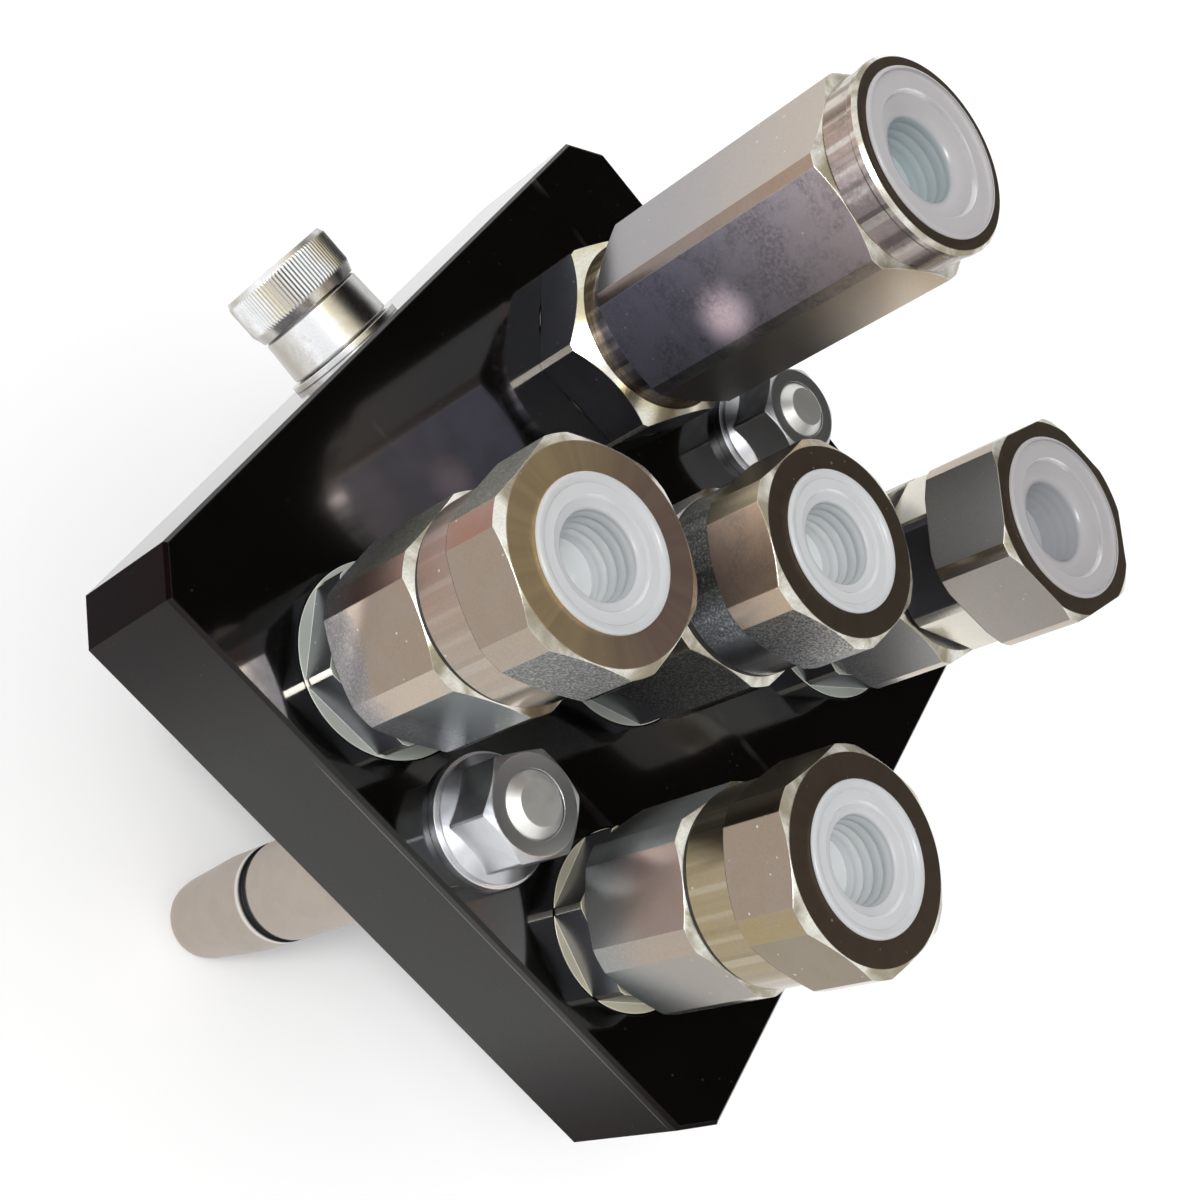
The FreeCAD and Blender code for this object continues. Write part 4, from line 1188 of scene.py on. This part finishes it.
@dataclass
class Studio:
    """Pale floor, soft light and the camera."""

    floor_z: float = -0.0762
    floor_half: float = 30.0
    pale: Triple = (0.95, 0.95, 0.95)
    ambient: float = 0.72
    dim: Triple = (0.015, 0.0125, 0.009)
    dim_towards: Triple = (0.6415, -0.2586, 0.7222)
    lamps: tuple[Lamp, ...] = (Lamp("key", 0.85, (-0.55, 0.45, 0.95), 30.0),
                               Lamp("spark", 0.75, (-0.44, 0.365, 0.82), 8.0))
    camera_place: Triple = (-0.2197, 0.0911, 0.2684)
    camera_right: Triple = (0.4499, -0.6357, 0.6272)
    camera_up: Triple = (0.6214, 0.7273, 0.2915)
    camera_forward: Triple = (0.6415, -0.2586, -0.7222)
    focal_pixels: float = 1762.3
    picture_pixels: float = 1200.0
    sensor: float = 36.0

    def build(self) -> None:
        """Makes the floor, the world, the lamps and the camera."""
        self.make_floor()
        self.make_world()
        for lamp in self.lamps:
            lamp.build()
        self.make_camera()

    def make_floor(self) -> None:
        """A wide pale floor just under the guide pins' tips, clear when seen from below."""
        w = MaterialWiring("pale_floor")
        shader = w.add("BsdfPrincipled", {"Base Color": (1.0, 1.0, 1.0), "Roughness": 0.9,
                                          "Specular IOR Level": 0.0})
        material = w.show(w.add("MixShader", {0: w.add("NewGeometry").outputs["Backfacing"],
                                              1: shader.outputs[0],
                                              2: w.add("BsdfTransparent").outputs[0]}).outputs[0])
        corners = [(x * self.floor_half, y * self.floor_half, self.floor_z)
                   for x, y in ((-1.0, -1.0), (1.0, -1.0), (1.0, 1.0), (-1.0, 1.0))]
        mesh_object("floor", corners, [(0, 1, 2, 3)], material)

    def make_world(self) -> None:
        """Even light, and pale surroundings with one dim corner for the metal to show."""
        world = bpy.data.worlds.new("studio")
        bpy.context.scene.world = world
        world.use_nodes = True
        world.node_tree.nodes.clear()
        w = Wiring(world.node_tree)
        way = w.vector("NORMALIZE", w.add("TexCoord").outputs["Generated"])
        towards = Vector(self.dim_towards).normalized()
        along = w.vector("DOT_PRODUCT", way, tuple(towards))
        seen = w.blend(w.band(along, 0.70, 0.94), self.pale, self.dim)
        path = w.add("LightPath").outputs
        shows = w.most(path["Is Camera Ray"], path["Is Glossy Ray"], path["Is Transmission Ray"])
        colour = w.coats((self.ambient,) * 3, (shows, seen),
                         (path["Is Camera Ray"], (1.0, 1.0, 1.0)))
        back = w.add("Background", {"Color": colour, "Strength": 1.0})
        w.add("OutputWorld", {"Surface": back.outputs[0]})

    def make_camera(self) -> None:
        """The camera at the photograph's viewing angle."""
        data = bpy.data.cameras.new("camera")
        data.sensor_width = self.sensor
        data.lens = self.focal_pixels / self.picture_pixels * self.sensor
        data.clip_start = 0.01
        data.clip_end = 100.0
        camera = linked("camera", data)
        right, up, forward = (Vector(way).normalized() for way in
                              (self.camera_right, self.camera_up, self.camera_forward))
        turn = Matrix((right, up, -forward)).transposed()
        camera.matrix_world = Matrix.Translation(self.camera_place) @ turn.to_4x4()
        bpy.context.scene.camera = camera


# painted reflections: the tints of each piece below, for its flats, lands, round part and end face,
# stand in for what each face mirrors
SLEEVE_RING = (T.SMOKE, T.SMOKE)
COUPLINGS = (
    Coupling(1, Size.LARGE, 35.0, flange=T.OLIVE, slope=(0.7, 0.64, 0.44), cap="blue_cap",
             cap_relief=0.25,
             end=Plating(20.5, six(T.BEIGE, T.SILVER, T.SLATE, T.STRAW),
                         six(T.BEIGE, T.BEIGE, T.WARM, T.SMOKE),
                         rounds=(T.ASH, T.ASH, T.WARM, T.SLATE, T.ASH, T.ASH),
                         round_below=47.4 * MM, round_above=105.85 * MM,
                         lows=(0.72, 0.73, 0.85), highs=(1.12, 1.02, 0.95), streaks=0.5,
                         mottle=0.40, painted_glow=(0.02055, 0.03334, 0.0726), painted_glow_r=0.008)),
    Coupling(2, Size.SMALL, 32.3,
             sleeve=Plating(60.3, six(T.MOSS, T.WARM, T.TEAL), six(T.BEIGE, T.ROSE),
                            ring=SLEEVE_RING),
             end=Plating(0.8, six(T.BEIGE, T.MOSS, T.WARM, T.STEEL),
                         six(T.BEIGE, T.BEIGE, T.SALMON, T.SAND), ring=(T.HONEY, T.BROWN),
                         rounds=six(T.SAND, T.MOSS, T.ROSE, T.SAND), round_below=73.5 * MM,
                         streaks=0.1)),
    Coupling(3, Size.SMALL, 54.0,
             sleeve=Plating(50.5, six(T.STEEL, T.STEEL, T.STEEL), ring=SLEEVE_RING),
             end=Plating(51.5, six(T.OLIVE, T.CLAY, T.GRIT),
                         six(T.BEIGE, T.OLIVE, T.WARM, T.STEEL),
                         rounds=(T.OLIVE, T.MOSS, T.MOSS, T.STEEL, T.SAND, T.OLIVE),
                         round_below=73.5 * MM, fade=0.022, lows=(0.7, 0.76, 0.9),
                         highs=(1.45, 1.42, 1.36), mottle=0.2, streaks=0.15)),
    Coupling(4, Size.LARGE, 15.0, cap="grey_cap", cap_relief=0.08,
             sleeve=Plating(40.0, (T.SMOKE,) * 6, ring=SLEEVE_RING),
             end=Plating(38.0, six(T.OLIVE, T.SMOKE, T.ASH, T.SMOKE),
                         rounds=(T.SAND, T.PALE, T.NAVY, T.PALE, T.PALE, T.PALE),
                         round_below=74.0 * MM, round_steps=True, lows=(1.5, 1.5, 1.5),
                         highs=(0.85, 0.85, 0.86))),
    Coupling(5, Size.SMALL, 8.7, flange=T.CREAM,
             sleeve=Plating(42.0, six(T.DUSK, T.MAUVE, T.ASH), six(T.BEIGE, T.DUSK, T.SAND),
                            ring=SLEEVE_RING, foot_tint=T.TEAL, foot_height=0.017),
             end=Plating(43.7, six(T.OLIVE, T.WARM, T.KHAKI), six(T.BEIGE, T.OLIVE, T.BRASS),
                         rounds=six(T.SAND, T.MOSS, T.BRASS, T.BRASS, T.SAND),
                         round_below=73.5 * MM, streaks=0.15)),
)


def main() -> None:
    """Builds and dresses every sub-assembly."""
    logging.basicConfig(level=logging.INFO, format="%(message)s")
    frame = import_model()
    nodes = frame["nodes"]
    bpy.context.scene.view_settings.view_transform = "Standard"
    Studio().build()
    finishes = {
        "rubber": Rubber().material(),
        "cap": CapPlastic().material(),
        "blue_cap": CapPlastic("blue_plastic", (0.64, 0.62, 0.63), (0.5, 0.56, 0.58),
                               (0.6, 0.69, 0.71)).material(),
        "grey_cap": CapPlastic("grey_plastic", (0.58, 0.56, 0.565), (0.54, 0.55, 0.58),
                               (0.56, 0.57, 0.6)).material(),
        "spring": Metal("spring_steel", (0.35, 0.35, 0.36), (0.28, 0.28, 0.29), 0.30).material(),
        "valve": Metal("valve_steel", (0.68, 0.68, 0.68), (0.55, 0.55, 0.56), 0.22).material(),
        "zinc": ZINC.material(),
        "nickel": NICKEL.material(),
        "pin": PinSteel().material(),
    }
    dress(nodes["plate"], Anodised().material())
    thread = ThreadTree()
    for coupling in COUPLINGS:
        coupling.build(nodes, finishes, thread)
    for finish, names in (("pin", ("guide_pin_1", "guide_pin_2")),
                          ("zinc", ("pin_nuts", "pin_washers")),
                          ("nickel", ("cam_screws", "cam_washers", "cam_roller_1",
                                      "cam_roller_2"))):
        for name in names:
            dress(nodes[name], finishes[finish])


if __name__ == "__main__":
    main()
